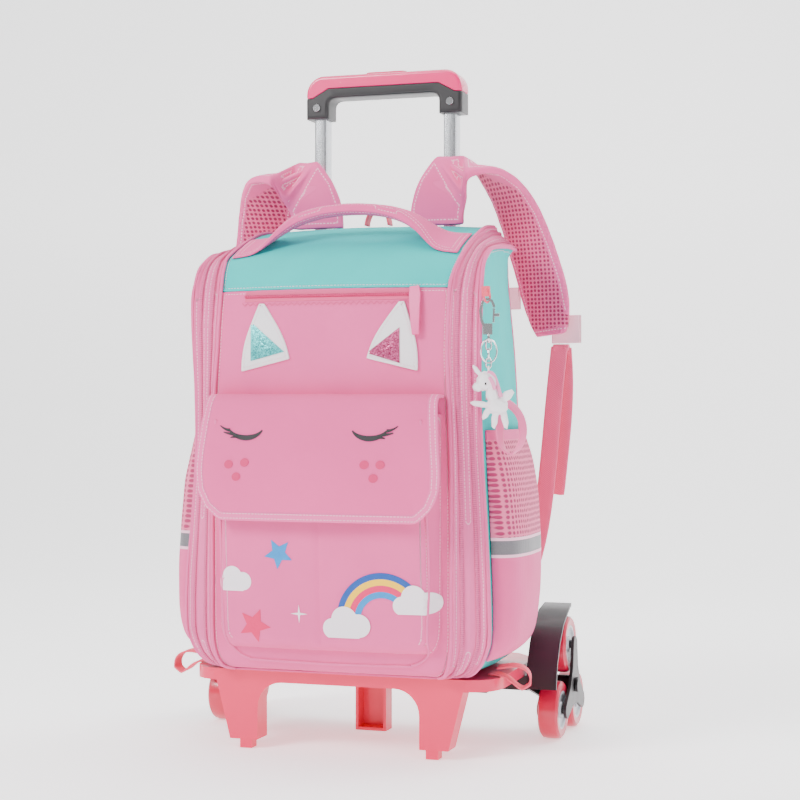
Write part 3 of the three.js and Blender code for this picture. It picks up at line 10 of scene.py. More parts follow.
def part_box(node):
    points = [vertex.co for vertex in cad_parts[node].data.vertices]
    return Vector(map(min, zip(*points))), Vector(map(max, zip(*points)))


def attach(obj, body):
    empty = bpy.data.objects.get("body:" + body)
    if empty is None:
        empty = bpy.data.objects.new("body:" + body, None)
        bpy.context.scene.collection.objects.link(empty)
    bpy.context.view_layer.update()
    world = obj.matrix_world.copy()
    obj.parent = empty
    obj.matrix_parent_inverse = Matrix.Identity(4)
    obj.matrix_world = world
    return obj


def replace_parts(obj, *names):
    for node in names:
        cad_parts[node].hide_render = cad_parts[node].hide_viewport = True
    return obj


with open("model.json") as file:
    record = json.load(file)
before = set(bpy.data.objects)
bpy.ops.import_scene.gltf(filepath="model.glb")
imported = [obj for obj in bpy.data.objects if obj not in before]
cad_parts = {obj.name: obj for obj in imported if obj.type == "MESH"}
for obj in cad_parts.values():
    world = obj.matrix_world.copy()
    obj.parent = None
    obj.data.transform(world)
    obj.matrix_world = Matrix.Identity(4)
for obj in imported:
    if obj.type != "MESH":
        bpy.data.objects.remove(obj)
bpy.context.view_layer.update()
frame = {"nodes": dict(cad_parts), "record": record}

MM = 0.001
HANDS = ((1, "right"), (-1, "left"))
BODY_OF = {n: body for body, names in frame["record"]["behaviour"]["bodies"].items() for n in names}

# Places on the padded edge band of the right side in mm, from the hem up over the top to the back
BAND_LINES = (
    # inner piping, inner zip, outer zip, outer piping
    ((108.1, -100.0, 81.7), (112.1, -95.9, 82.1), (118.0, -90.0, 82.1), (122.1, -86.0, 81.7)),
    ((116.2, -108.4, 84.6), (122.6, -103.5, 85.0), (131.8, -96.8, 85.2), (138.4, -92.2, 85.0)),
    ((121.2, -112.8, 92.7), (129.3, -108.0, 93.6), (141.1, -101.6, 94.7), (149.6, -97.3, 95.2)),
    ((124.2, -115.3, 104.7), (133.5, -110.6, 106.2), (146.9, -104.5, 108.3), (156.7, -100.3, 109.6)),
    ((125.6, -116.3, 122.2), (135.5, -112.0, 123.2), (149.8, -106.3, 124.7), (160.2, -102.5, 125.7)),
    ((125.6, -116.3, 175.0), (135.2, -112.1, 175.0), (149.1, -106.7, 175.0), (159.3, -103.0, 175.0)),
    ((125.7, -116.3, 235.0), (134.1, -111.1, 235.0), (146.4, -104.1, 235.0), (155.3, -99.3, 235.1)),
    ((125.2, -116.8, 300.1), (132.7, -111.2, 300.1), (143.4, -103.9, 300.1), (151.3, -98.8, 300.1)),
    ((122.8, -117.3, 365.2), (130.6, -112.7, 364.2), (141.9, -106.6, 362.9), (150.2, -102.5, 361.9)),
    ((121.1, -114.8, 403.9), (129.7, -111.7, 403.9), (142.1, -107.7, 403.8), (151.3, -105.0, 403.8)),
    ((121.1, -111.2, 431.3), (129.9, -109.4, 431.5), (142.7, -107.3, 431.8), (152.2, -106.0, 432.0)),
    ((121.0, -105.1, 464.2), (130.0, -104.8, 462.3), (143.0, -104.9, 459.8), (152.6, -105.1, 458.1)),
    ((123.1, -96.6, 480.3), (131.3, -97.2, 478.4), (143.3, -98.4, 475.8), (152.1, -99.4, 474.2)),
    ((125.0, -87.5, 490.5), (132.5, -88.7, 489.1), (143.5, -90.9, 487.6), (151.6, -92.5, 486.7)),
    ((126.6, -77.4, 499.7), (133.6, -78.0, 498.2), (143.6, -79.2, 496.4), (151.1, -80.2, 495.5)),
    ((126.0, -54.3, 510.7), (133.0, -55.9, 508.5), (143.2, -58.4, 505.8), (150.6, -60.2, 504.2)),
    ((125.6, -32.2, 519.3), (132.8, -32.1, 515.8), (143.1, -32.0, 511.2), (150.7, -32.0, 508.2)),
    ((125.2, -6.1, 528.0), (132.5, -6.0, 522.5), (143.1, -5.9, 515.3), (150.8, -5.9, 510.4)),
    ((124.8, 17.9, 533.9), (131.9, 18.0, 527.1), (142.2, 18.1, 517.9), (149.8, 18.1, 511.6)),
    ((124.4, 48.0, 536.6), (131.0, 48.1, 529.1), (140.7, 48.1, 519.0), (147.9, 48.1, 511.5)),
)


def linear(hex_colour):
    parts = [int(hex_colour[i:i + 2], 16) / 255 for i in (1, 3, 5)]
    return tuple(p / 12.92 if p <= 0.04045 else ((p + 0.055) / 1.055) ** 2.4 for p in parts) + (1.0,)


def shaded(base, share):
    """A linear colour at a share of its strength."""
    return tuple(c * share for c in base[:3]) + (1.0,)


# Materials
class Surface:
    """A procedural material under construction."""

    def __init__(self, name, **shader):
        self.material = bpy.data.materials.new(name)
        self.material.use_nodes = True
        self.tree = self.material.node_tree
        self.shader = self.tree.nodes["Principled BSDF"]
        self.set(self.shader, shader)
        self.place = self.add("ShaderNodeTexCoord").outputs["Object"]

    def set(self, node, inputs):
        for key, value in inputs.items():
            socket = node.inputs[key.replace("_", " ") if isinstance(key, str) else key]
            if isinstance(value, bpy.types.NodeSocket):
                self.tree.links.new(value, socket)
            else:
                socket.default_value = value

    def add(self, kind, settings=None, inputs=None):
        node = self.tree.nodes.new(kind)
        for key, value in (settings or {}).items():
            setattr(node, key, value)
        self.set(node, inputs or {})
        return node

    def math(self, operation, *values):
        return self.add("ShaderNodeMath", {"operation": operation}, dict(enumerate(values))).outputs[0]

    def field(self, name):
        return self.add("ShaderNodeAttribute", {"attribute_name": name}).outputs["Fac"]

    def axis(self, letter):
        return self.add("ShaderNodeSeparateXYZ", None, {0: self.place}).outputs[letter]

    def between(self, value, low, high):
        above = self.math("GREATER_THAN", value, low)
        return self.math("MULTIPLY", above, self.math("LESS_THAN", value, high))

    def noise(self, pitch_mm, detail=3.0, stretch=None):
        place = self.place
        if stretch:
            place = self.add("ShaderNodeMapping", None, {"Vector": place, "Scale": stretch}).outputs[0]
        inputs = {"Vector": place, "Scale": 1 / (pitch_mm * MM), "Detail": detail}
        return self.add("ShaderNodeTexNoise", None, inputs).outputs["Fac"]

    def mix(self, factor, a, b):
        node = self.add("ShaderNodeMix", {"data_type": "RGBA"})
        self.set(node, {0: factor, 6: a, 7: b})
        return node.outputs[2]

    def bump(self, height, depth_mm, below=None):
        inputs = {"Height": height, "Distance": depth_mm * MM, "Strength": 1.0}
        if below is not None:
            inputs["Normal"] = below
        return self.add("ShaderNodeBump", None, inputs).outputs[0]

    def finish(self, colour=None, normal=None, roughness=None):
        for name, value in (("Base Color", colour), ("Normal", normal), ("Roughness", roughness)):
            if value is not None:
                self.set(self.shader, {name: value})
        return self.material


def weave(surface, yarn_mm):
    """Height of plain woven yarns: two crossing waves."""
    waves = []
    for direction in ("X", "Z"):
        settings = {"wave_type": "BANDS", "bands_direction": direction}
        inputs = {"Vector": surface.place, "Scale": 1 / (yarn_mm * MM * 3.2), "Distortion": 0.6}
        waves.append(surface.add("ShaderNodeTexWave", settings, inputs).outputs["Fac"])
    return surface.math("MULTIPLY", *waves)


# Dyed polyester oxford cloth, woven from yarns under a millimetre: a dull face with a soft sheen at
# grazing angles, slightly uneven dye, and lockstitches a few millimetres from each sewn edge
def woven_cloth(name, colour, edge_colour=None, edge_mm=0.0, stitch_mm=(3.0,), yarn_mm=0.8, dark=0.86):
    s = Surface(name, Roughness=0.82, Sheen_Weight=0.08, Sheen_Roughness=0.4)
    s.set(s.shader, {"Specular IOR Level": 0.25})
    base = linear(colour)
    shade = shaded(base, dark)
    surface_colour = s.mix(s.noise(60, 4), shade, base)
    surface_colour = s.mix(s.math("MULTIPLY", s.noise(1.6, 2), 0.22), surface_colour, shade)
    seam = s.field("seam")
    along = s.field("along")
    if edge_colour:
        surface_colour = s.mix(s.math("LESS_THAN", seam, edge_mm * MM), surface_colour, linear(edge_colour))
    threads = 0.0
    for distance in stitch_mm:
        line = s.between(seam, (distance - 0.45) * MM, (distance + 0.45) * MM)
        dash = s.math("LESS_THAN", s.math("FRACT", s.math("DIVIDE", along, 3.4 * MM)), 0.66)
        threads = s.math("ADD", s.math("MULTIPLY", line, dash), threads)
    surface_colour = s.mix(s.math("MULTIPLY", threads, 0.6), surface_colour, linear("#FFD3E4"))
    normal = s.bump(weave(s, yarn_mm), 0.12)
    normal = s.bump(s.noise(9, 3), 0.35, normal)
    normal = s.bump(threads, 0.3, normal)
    if edge_colour:
        fold = {0: seam, 1: (edge_mm - 1.2) * MM, 2: edge_mm * MM, 3: 1.0, 4: 0.0}
        step = s.add("ShaderNodeMapRange", None, fold)
        normal = s.bump(step.outputs[0], 0.9, normal)
    return s.finish(surface_colour, normal)


# Knitted spacer mesh: small round holes a few millimetres apart, a mask that the callers fill with painted
# shade
def mesh_pattern(s, pitch_mm, axes=("X", "Z")):
    flat = s.add("ShaderNodeCombineXYZ", None, {0: s.axis(axes[0]), 1: s.axis(axes[1])}).outputs[0]
    inputs = {"Vector": flat, "Scale": 1 / (pitch_mm * MM), "Randomness": 0.12}
    cells = s.add("ShaderNodeTexVoronoi", {"voronoi_dimensions": "2D"}, inputs).outputs["Distance"]
    hole = s.add("ShaderNodeMapRange", None, {0: cells, 1: 0.26, 2: 0.4, 3: 1.0, 4: 0.0}).outputs[0]
    return hole


def strap_cloth():
    s = Surface("strap cloth and spacer mesh", Roughness=0.8, Sheen_Weight=0.1)
    inner = s.field("inner")
    seam = s.field("seam")
    along = s.field("along")
    hole = s.math("MULTIPLY", mesh_pattern(s, 4.4), inner)
    outer = s.mix(s.noise(50, 4), linear("#E84E91"), linear("#F2609F"))
    lining = s.mix(s.noise(3, 2), linear("#EA5A8E"), linear("#F26E9F"))
    surface_colour = s.mix(inner, outer, lining)
    # Painted shade: the strap's mesh holes are coloured deep rose for the shade inside them
    surface_colour = s.mix(hole, surface_colour, linear("#A81F57"))
    edge = s.math("LESS_THAN", seam, 7.5 * MM)
    surface_colour = s.mix(edge, surface_colour, linear("#F15E9E"))
    line = s.between(seam, 4.6 * MM, 5.6 * MM)
    dash = s.math("LESS_THAN", s.math("FRACT", s.math("DIVIDE", along, 3.6 * MM)), 0.62)
    threads = s.math("MULTIPLY", line, dash)
    surface_colour = s.mix(s.math("MULTIPLY", threads, 0.7), surface_colour, linear("#FFD9E8"))
    normal = s.bump(weave(s, 0.9), 0.12)
    normal = s.bump(s.math("SUBTRACT", 1.0, hole), 0.9, normal)
    normal = s.bump(edge, 0.7, normal)
    return s.finish(surface_colour, normal)


# Side pocket: stretched knitted net above, a grey retro-reflective tape between light pipings, cloth below
def pocket_cloth():
    s = Surface("side pocket net, tape and cloth", Roughness=0.75, Sheen_Weight=0.08)
    height = s.axis("Z")
    net = s.between(height, 0.2195, 0.315)
    hole = s.math("MULTIPLY", mesh_pattern(s, 5.2, ("Y", "Z")), net)
    surface_colour = s.mix(s.noise(40, 4), linear("#E64C8C"), linear("#F2609F"))
    surface_colour = s.mix(net, surface_colour, linear("#F0709C"))
    # Painted shade: the net holes are coloured dark rose for the shaded inside of the pocket
    surface_colour = s.mix(hole, surface_colour, linear("#B02A60"))
    piping = s.between(height, 0.2, 0.2195)
    tape = s.between(height, 0.203, 0.2165)
    surface_colour = s.mix(piping, surface_colour, linear("#FFC3DA"))
    surface_colour = s.mix(tape, surface_colour, s.mix(s.noise(0.8, 1), linear("#5E5A60"), linear("#7C787E")))
    normal = s.bump(weave(s, 0.9), 0.12)
    normal = s.bump(s.math("SUBTRACT", 1.0, hole), 0.8, normal)
    normal = s.bump(s.math("SUBTRACT", piping, tape), 1.0, normal)
    rough = s.math("SUBTRACT", 0.8, s.math("MULTIPLY", tape, 0.4))
    return s.finish(surface_colour, normal, rough)


# Flat woven nylon webbing: ribs across the strap and a slight shine
def webbing(name, colour):
    s = Surface(name, Roughness=0.6, Sheen_Weight=0.06)
    settings = {"wave_type": "BANDS", "bands_direction": "DIAGONAL"}
    inputs = {"Vector": s.place, "Scale": 260.0, "Distortion": 0.4}
    ribs = s.add("ShaderNodeTexWave", settings, inputs).outputs["Fac"]
    base = linear(colour)
    surface_colour = s.mix(s.math("MULTIPLY", ribs, 0.3), base, shaded(base, 0.72))
    return s.finish(surface_colour, s.bump(ribs, 0.25))


# Zip chain: nylon coils pressed side by side, one every 2 mm along the tape
def zip_chain(name, colour):
    s = Surface(name, Roughness=0.5)
    step = s.math("PINGPONG", s.math("DIVIDE", s.field("along"), 1.0 * MM), 1.0)
    base = linear(colour)
    # Painted shade between the coils: the colour falls to 70 % at each gap, where the bump is lowest
    surface_colour = s.mix(step, shaded(base, 0.7), base)
    return s.finish(surface_colour, s.bump(step, 0.7))


# Injection moulded plastic: fine die grain, faint flow unevenness, rounded edges that catch light
def moulded(name, colour, roughness, grain_mm=0.7, clear=0.0, coat=0.0):
    s = Surface(name, Coat_Weight=coat, Coat_Roughness=0.12, Transmission_Weight=clear, IOR=1.49)
    base = linear(colour)
    surface_colour = s.mix(s.noise(35, 3), shaded(base, 0.93), base)
    wear = {0: s.noise(14, 4), 3: roughness * 0.85, 4: roughness * 1.2}
    worn = s.add("ShaderNodeMapRange", None, wear).outputs[0]
    return s.finish(surface_colour, s.bump(s.noise(grain_mm, 2), 0.03), worn)


# Drawn and anodised aluminium tube, or plated wire: fine lines along the draw and a clean reflection
def metal(name, colour, roughness, stretch=(1, 1, 0.03)):
    s = Surface(name, Metallic=1.0)
    lines = s.noise(0.5, 2, stretch)
    base = linear(colour)
    surface_colour = s.mix(lines, shaded(base, 0.86), base)
    rough = s.add("ShaderNodeMapRange", None, {0: lines, 3: roughness * 0.8, 4: roughness * 1.25}).outputs[0]
    return s.finish(surface_colour, s.bump(lines, 0.01), rough)


# Screen print: a thin even ink film that lets the yarns show through
def ink(name, colour):
    s = Surface(name, Roughness=0.55)
    base = linear(colour)
    surface_colour = s.mix(s.math("MULTIPLY", s.noise(1.1, 2), 0.25), base, shaded(base, 0.85))
    return s.finish(surface_colour, s.bump(weave(s, 0.8), 0.08))


# Glitter film: flakes half a millimetre across, each tilted its own way; each flake's colour is painted
# between a painted shade and a painted glint for the light off its tilt
def glitter(name, colour):
    s = Surface(name, Roughness=0.25, Metallic=0.7)
    inputs = {"Vector": s.place, "Scale": 1 / (0.9 * MM)}
    flakes = s.add("ShaderNodeTexVoronoi", None, inputs).outputs["Color"]
    grey = s.add("ShaderNodeSeparateColor", None, {0: flakes}).outputs[0]
    base = linear(colour)
    painted_glint = tuple(min(1, c * 1.7 + 0.12) for c in base[:3]) + (1.0,)
    # Painted light: dark flakes are painted shade at 45 %, bright flakes a painted glint
    surface_colour = s.mix(grey, shaded(base, 0.45), painted_glint)
    return s.finish(surface_colour, s.bump(grey, 0.35))


PINK = woven_cloth("pink oxford cloth", "#F2609F")
PINK_BOUND = woven_cloth("pink cloth with binding", "#F15A9B", "#F268A4", 9.0, (2.4, 7.0))
PINK_BAND = woven_cloth("light pink zip band", "#F36EA8", stitch_mm=(2.5,))
TURQUOISE = woven_cloth("turquoise cloth", "#0CCAC6", dark=0.82)
SATIN = woven_cloth("white satin", "#F7F2F6", yarn_mm=0.4, dark=0.94)
HANDLE_CLOTH = woven_cloth("handle cloth", "#F15C9C", stitch_mm=(3.0, 7.5))
PIPING = woven_cloth("piping", "#F26AA5", stitch_mm=(), yarn_mm=0.6)
STRAP = strap_cloth()
POCKET = pocket_cloth()
WEBBING = webbing("rose webbing", "#F9628F")
SALMON = webbing("salmon webbing", "#F9506E")
ZIP = zip_chain("pink zip chain", "#F0649F")
ZIP_DEEP = zip_chain("deep pink zip chain", "#DE2C70")
TRAY = moulded("hot pink moulded tray", "#EA0A52", 0.38, coat=0.25)
GLOSS_PINK = moulded("pink glossy shell", "#EE1670", 0.25, coat=0.5)
PULLER = moulded("pink soft plastic", "#F0569A", 0.4)
BLACK = moulded("black grained plastic", "#1E1B1E", 0.38, coat=0.2)
CLEAR = moulded("clear pink plastic", "#FFC9D8", 0.15, clear=0.55)
TYRE = moulded("crimson wheel rubber", "#CF0F40", 0.3, coat=0.35)
RIM = moulded("silver-grey wheel rim", "#B9BCC4", 0.3, coat=0.3)
TUBE = metal("anodised tube", "#D5D7DC", 0.26)
PLATED = metal("plated metal", "#E6E6EA", 0.14, (1, 1, 1))
TOY = moulded("white toy rubber", "#F8F4F8", 0.42)
TOY_PINK = moulded("pink toy rubber", "#F58FBE", 0.42)


# Shapes
def new_object(name, mesh, material, body="bag"):
    obj = bpy.data.objects.new(name, mesh)
    bpy.context.scene.collection.objects.link(obj)
    mesh.materials.clear()
    mesh.materials.append(material)
    for polygon in mesh.polygons:
        polygon.use_smooth = True
    if body:
        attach(obj, body)
    return obj


def evaluated(obj):
    return bpy.data.meshes.new_from_object(obj.evaluated_get(bpy.context.evaluated_depsgraph_get()))


def edge_points(bm, edges):
    """Points each 1.5 mm along the sewn edges, with how far along its loop each one lies."""
    ways = {}
    for edge in edges:
        for vert in edge.verts:
            ways.setdefault(vert.index, []).append(edge)
    points = []
    done = set()
    for first in edges:
        if first.index in done:
            continue
        edge = first
        vert = first.verts[0]
        run = 0.0
        while edge is not None and edge.index not in done:
            done.add(edge.index)
            other = edge.other_vert(vert)
            length = edge.calc_length()
            count = max(1, int(length / (1.5 * MM)))
            shares = [k / count for k in range(count + 1)]
            points += [(vert.co.lerp(other.co, share), run + length * share) for share in shares]
            run += length
            vert = other
            edge = next((e for e in ways[vert.index] if e.index not in done), None)
    return points


def cloth(node, material, levels=3, swell=0.6, fold=0.9, pucker=0.5, crease=0.8, sharp=48):
    """A sewn piece: the solid's form made smooth, puffed between its seams, with slack folds and gathers."""
    bm = bmesh.new()
    bm.from_mesh(frame["nodes"][node].data)
    bmesh.ops.remove_doubles(bm, verts=bm.verts, dist=1e-5)
    bmesh.ops.join_triangles(
        bm, faces=bm.faces, angle_face_threshold=math.radians(40), angle_shape_threshold=math.radians(60)
    )
    bm.edges.index_update()
    bm.verts.index_update()
    layer = bm.edges.layers.float.get("crease_edge") or bm.edges.layers.float.new("crease_edge")
    edges = [e for e in bm.edges if len(e.link_faces) == 2 and e.calc_face_angle(0) > math.radians(sharp)]
    for edge in edges:
        edge[layer] = crease
    points = edge_points(bm, edges)
    rough = bpy.data.meshes.new(node + "_form")
    bm.to_mesh(rough)
    bm.free()
    obj = bpy.data.objects.new(node + "_form", rough)
    bpy.context.scene.collection.objects.link(obj)
    obj.modifiers.new("smooth", "SUBSURF").levels = levels
    mesh = evaluated(obj)
    bpy.data.objects.remove(obj)
    tree = kdtree.KDTree(max(1, len(points)))
    for index, (point, _) in enumerate(points):
        tree.insert(point, index)
    tree.balance()
    seam = []
    along = []
    moved = []
    normals = [v.normal.copy() for v in mesh.vertices]
    for vert, normal in zip(mesh.vertices, normals):
        _, index, distance = tree.find(vert.co) if points else (None, 0, 1.0)
        run = points[index][1] if points else 0.0
        seam.append(distance)
        along.append(run)
        near = math.exp(-distance / (9 * MM))
        free = 1 - math.exp(-distance / (22 * MM))
        slack = noise.noise(vert.co * 14) + 0.5 * noise.noise(vert.co * 34 + Vector((3, 1, 7)))
        gather = noise.noise(Vector((run / (11 * MM), distance / (30 * MM), 0.0)))
        edge_fade = min(1.0, distance / (2.5 * MM))
        out = swell * free + fold * free * slack + pucker * near * gather * edge_fade
        moved.append(vert.co + normal * (out * MM))
    for vert, place in zip(mesh.vertices, moved):
        vert.co = place
    for name, values in (("seam", seam), ("along", along)):
        mesh.attributes.new(name, "FLOAT", "POINT").data.foreach_set("value", values)
    mesh.update()
    piece = new_object(node + "_cloth", mesh, material, BODY_OF[node])
    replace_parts(piece, node)
    return piece


def hard(node, material, bevel_mm=0.5, angle=38):
    """A moulded or metal piece: the solid with its edges rounded and smooth curved faces."""
    bm = bmesh.new()
    bm.from_mesh(frame["nodes"][node].data)
    bmesh.ops.remove_doubles(bm, verts=bm.verts, dist=1e-5)
    bmesh.ops.dissolve_limit(bm, angle_limit=math.radians(1), verts=bm.verts, edges=bm.edges)
    for edge in bm.edges:
        edge.smooth = edge.calc_face_angle(0) < math.radians(angle)
    mesh = bpy.data.meshes.new(node + "_shape")
    bm.to_mesh(mesh)
    bm.free()
    piece = new_object(node + "_shape", mesh, material, BODY_OF[node])
    round_edges = piece.modifiers.new("round edges", "BEVEL")
    round_edges.width = bevel_mm * MM
    round_edges.segments = 2
    round_edges.limit_method = "ANGLE"
    round_edges.angle_limit = math.radians(angle)
    piece.modifiers.new("normals", "WEIGHTED_NORMAL").keep_sharp = True
    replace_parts(piece, node)
    return piece


def smooth_line(points, step_mm=2.0):
    """Points at even steps on a smooth curve through the given ones."""
    fine = []
    for i in range(len(points) - 1):
        a, b, c, d = (points[max(0, min(len(points) - 1, i + k))] for k in (-1, 0, 1, 2))
        count = max(1, int((c - b).length / (step_mm * MM)))
        for k in range(count):
            t = k / count
            square = 2 * a - 5 * b + 4 * c - d
            cube = 3 * b - a - 3 * c + d
            fine.append(0.5 * (2 * b + (c - a) * t + square * t * t + cube * t ** 3))
    return fine + [points[-1]]


def cord_mesh(name, points, radius_mm, material, sides=10, flat=1.0, body="bag"):
    """A sewn cord or zip chain along a line, flattened against the cloth where flat is below 1."""
    verts = []
    along = []
    run = 0.0
    up = Vector((0.31, 0.2, 0.93))
    for i, point in enumerate(points):
        ahead = (points[min(i + 1, len(points) - 1)] - points[max(i - 1, 0)]).normalized()
        side = ahead.cross(up).normalized()
        up = side.cross(ahead).normalized()
        run += (point - points[i - 1]).length if i else 0.0
        for k in range(sides):
            angle = 2 * math.pi * k / sides
            verts.append(point + (side * math.cos(angle) + up * math.sin(angle) * flat) * radius_mm * MM)
            along.append(run)
    count = len(points)
    faces = [
        (i * sides + k, i * sides + (k + 1) % sides, (i + 1) * sides + (k + 1) % sides, (i + 1) * sides + k)
        for i in range(count - 1) for k in range(sides)
    ]
    faces += [tuple(reversed(range(sides))), tuple((count - 1) * sides + k for k in range(sides))]
    mesh = bpy.data.meshes.new(name)
    mesh.from_pydata(verts, [], faces)
    mesh.attributes.new("along", "FLOAT", "POINT").data.foreach_set("value", along)
    mesh.attributes.new("seam", "FLOAT", "POINT").data.foreach_set("value", [0.01] * len(along))
    mesh.validate()
    return new_object(name, mesh, material, body)


def turned(name, node, profile, material, steps=96):
    """A turned ring about the wheel's own axle line. profile is (across, radius) in mm."""
    low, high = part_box(node)
    centre = (Vector(low) + Vector(high)) / 2
    side = 1 if centre.x > 0 else -1
    verts = []
    for k in range(steps):
        angle = 2 * math.pi * k / steps
        for across, radius in profile:
            ring = Vector((across * side, math.cos(angle) * radius, math.sin(angle) * radius))
            verts.append(centre + ring * MM)
    count = len(profile)
    faces = []
    for k in range(steps):
        here = k * count
        ahead = ((k + 1) % steps) * count
        for i in range(count):
            after = (i + 1) % count
            faces.append((here + i, here + after, ahead + after, ahead + i))
    mesh = bpy.data.meshes.new(name)
    mesh.from_pydata(verts, [], faces)
    bm = bmesh.new()
    bm.from_mesh(mesh)
    bmesh.ops.recalc_face_normals(bm, faces=bm.faces)
    for edge in bm.edges:
        edge.smooth = edge.calc_face_angle(0) < math.radians(35)
    bm.to_mesh(mesh)
    bm.free()
    return new_object(name, mesh, material, BODY_OF[node])


class Printed:
    """Flat shapes laid on the cloth they're printed or sewn on. Places are x and z in mm."""

    def __init__(self, targets, direction=(0, 1, 0)):
        graph = bpy.context.evaluated_depsgraph_get()
        self.trees = [BVHTree.FromObject(target, graph) for target in targets]
        self.direction = Vector(direction).normalized()

    def land(self, place, lift_mm):
        start = place - self.direction
        hits = [tree.ray_cast(start, self.direction) for tree in self.trees]
        hits = [hit for hit in hits if hit[0] is not None]
        if not hits:
            return place
        best = min(hits, key=lambda hit: hit[3])
        return best[0] - self.direction * lift_mm * MM

    def fan(self, name, middle, outline, material, lift_mm=0.35, rings=5):
        centre = Vector((middle[0], 0, middle[1]))
        places = [centre]
        for ring in range(1, rings + 1):
            places += [centre.lerp(Vector((x, 0, z)), ring / rings) for x, z in outline]
        verts = [self.land(p * MM, lift_mm) for p in places]
        count = len(outline)
        faces = [(0, 1 + k, 1 + (k + 1) % count) for k in range(count)]
        for ring in range(rings - 1):
            a = 1 + ring * count
            for k in range(count):
                after = (k + 1) % count
                faces.append((a + k, a + after, a + count + after, a + count + k))
        return self.film(name, verts, faces, material)

    def strip(self, name, line, widths, material, lift_mm=0.35, across=4):
        verts = []
        for i, (x, z) in enumerate(line):
            a = line[max(0, i - 1)]
            b = line[min(len(line) - 1, i + 1)]
            length = math.hypot(b[0] - a[0], b[1] - a[1]) or 1.0
            sx, sz = -(b[1] - a[1]) / length, (b[0] - a[0]) / length
            for k in range(across + 1):
                t = (k / across - 0.5) * widths[i]
                verts.append(self.land(Vector((x + sx * t, 0, z + sz * t)) * MM, lift_mm))
        w = across + 1
        faces = [
            (i * w + k, i * w + k + 1, (i + 1) * w + k + 1, (i + 1) * w + k)
            for i in range(len(line) - 1) for k in range(across)
        ]
        return self.film(name, verts, faces, material)

    def film(self, name, verts, faces, material):
        mesh = bpy.data.meshes.new(name)
        mesh.from_pydata(verts, [], faces)
        piece = new_object(name, mesh, material)
        for polygon in mesh.polygons:
            polygon.use_smooth = False
        film = piece.modifiers.new("thickness", "SOLIDIFY")
        film.thickness = 0.25 * MM
        film.offset = 0.0
        return piece


def star(x, z, radius, turn, inner=0.46):
    points = []
    for k in range(60):
        t = k / 6
        low = radius * (inner if int(t) % 2 == 0 else 1.0)
        high = radius * (1.0 if int(t) % 2 == 0 else inner)
        part = t - int(t)
        a0 = math.radians(turn + 36 * int(t))
        a1 = math.radians(turn + 36 * (int(t) + 1))
        px = (1 - part) * low * math.cos(a0) + part * high * math.cos(a1)
        pz = (1 - part) * low * math.sin(a0) + part * high * math.sin(a1)
        points.append((x + px, z + pz))
    return points


def cloud(x, z, size):
    puffs = ((-0.62, -0.12, 0.42), (-0.1, 0.24, 0.56), (0.52, 0.02, 0.48), (0.0, -0.2, 0.6))
    points = []
    for k in range(90):
        angle = 2 * math.pi * k / 90
        c, s = math.cos(angle), math.sin(angle)
        reach = 0.0
        for px, pz, r in puffs:
            b = px * c + pz * s
            root = b * b - (px * px + pz * pz - r * r)
            if root > 0:
                reach = max(reach, b + math.sqrt(root))
        points.append((x + reach * size * c, z + max(-0.5, reach * s) * size))
    return points


def oval(x, z, rx, rz, turn=0.0):
    points = []
    for k in range(28):
        a = 2 * math.pi * k / 28
        px, pz = rx * math.cos(a), rz * math.sin(a)
        t = math.radians(turn)
        points.append((x + px * math.cos(t) - pz * math.sin(t), z + px * math.sin(t) + pz * math.cos(t)))
    return points


def arc_line(middle, rx, rz, degrees):
    """Points of an oval arc at these angles."""
    turns = [math.radians(a) for a in degrees]
    return [(middle[0] + rx * math.cos(t), middle[1] + rz * math.sin(t)) for t in turns]


def polygon_outline(corners, per_side=12):
    points = []
    for i, (ax, az) in enumerate(corners):
        bx, bz = corners[(i + 1) % len(corners)]
        points += [(ax + (bx - ax) * k / per_side, az + (bz - az) * k / per_side) for k in range(per_side)]
    return points


# Cloth pieces of the bag
def build_shell():
    shell = [cloth("front_panel", PINK, 3, 1.5, 1.2, 0.8)]
    cloth("top_panel", TURQUOISE, 3, 1.0, 1.2, 0.8)
    cloth("back_panel", PINK, 3, 0.0, 0.5, 0.3)
    cloth("bottom_panel", PINK, 2, 0.0, 0.3, 0.2)
    for _, hand in HANDS:
        cloth(f"gusset_{hand}", PINK_BAND, 3, 0.4, 0.6, 0.5)
        cloth(f"side_panel_{hand}", TURQUOISE, 3, 1.2, 2.0, 0.9)
        cloth(f"side_pocket_{hand}", POCKET, 3, 0.6, 1.8, 1.0)
        shell.append(cloth(f"ear_{hand}", SATIN, 3, 0.4, 0.3, 0.2))
    shell.append(cloth("front_pocket", PINK, 3, 1.0, 1.6, 0.8))
    shell.append(cloth("pocket_flap", PINK_BOUND, 3, 0.8, 1.4, 0.6))
    cloth("carry_handle", HANDLE_CLOTH, 3, 0.4, 0.5, 0.5)
    return shell


def build_band_lines():
    """Piping along both seams of the padded edge band and two zip chains between them."""
    rows = [[Vector(point) * MM for point in row] for row in BAND_LINES]
    kinds = (
        # column, radius in mm, material, name
        (0, 2.1, PIPING, "inner_piping"),
        (1, 2.2, ZIP, "inner_zip"),
        (2, 2.2, ZIP, "outer_zip"),
        (3, 2.1, PIPING, "outer_piping"),
    )
    for sign, hand in HANDS:
        for column, radius, material, name in kinds:
            line = [Vector((row[column].x * sign, row[column].y, row[column].z)) for row in rows]
            cord_mesh(f"{name}_{hand}", smooth_line(line), radius, material, flat=0.8)


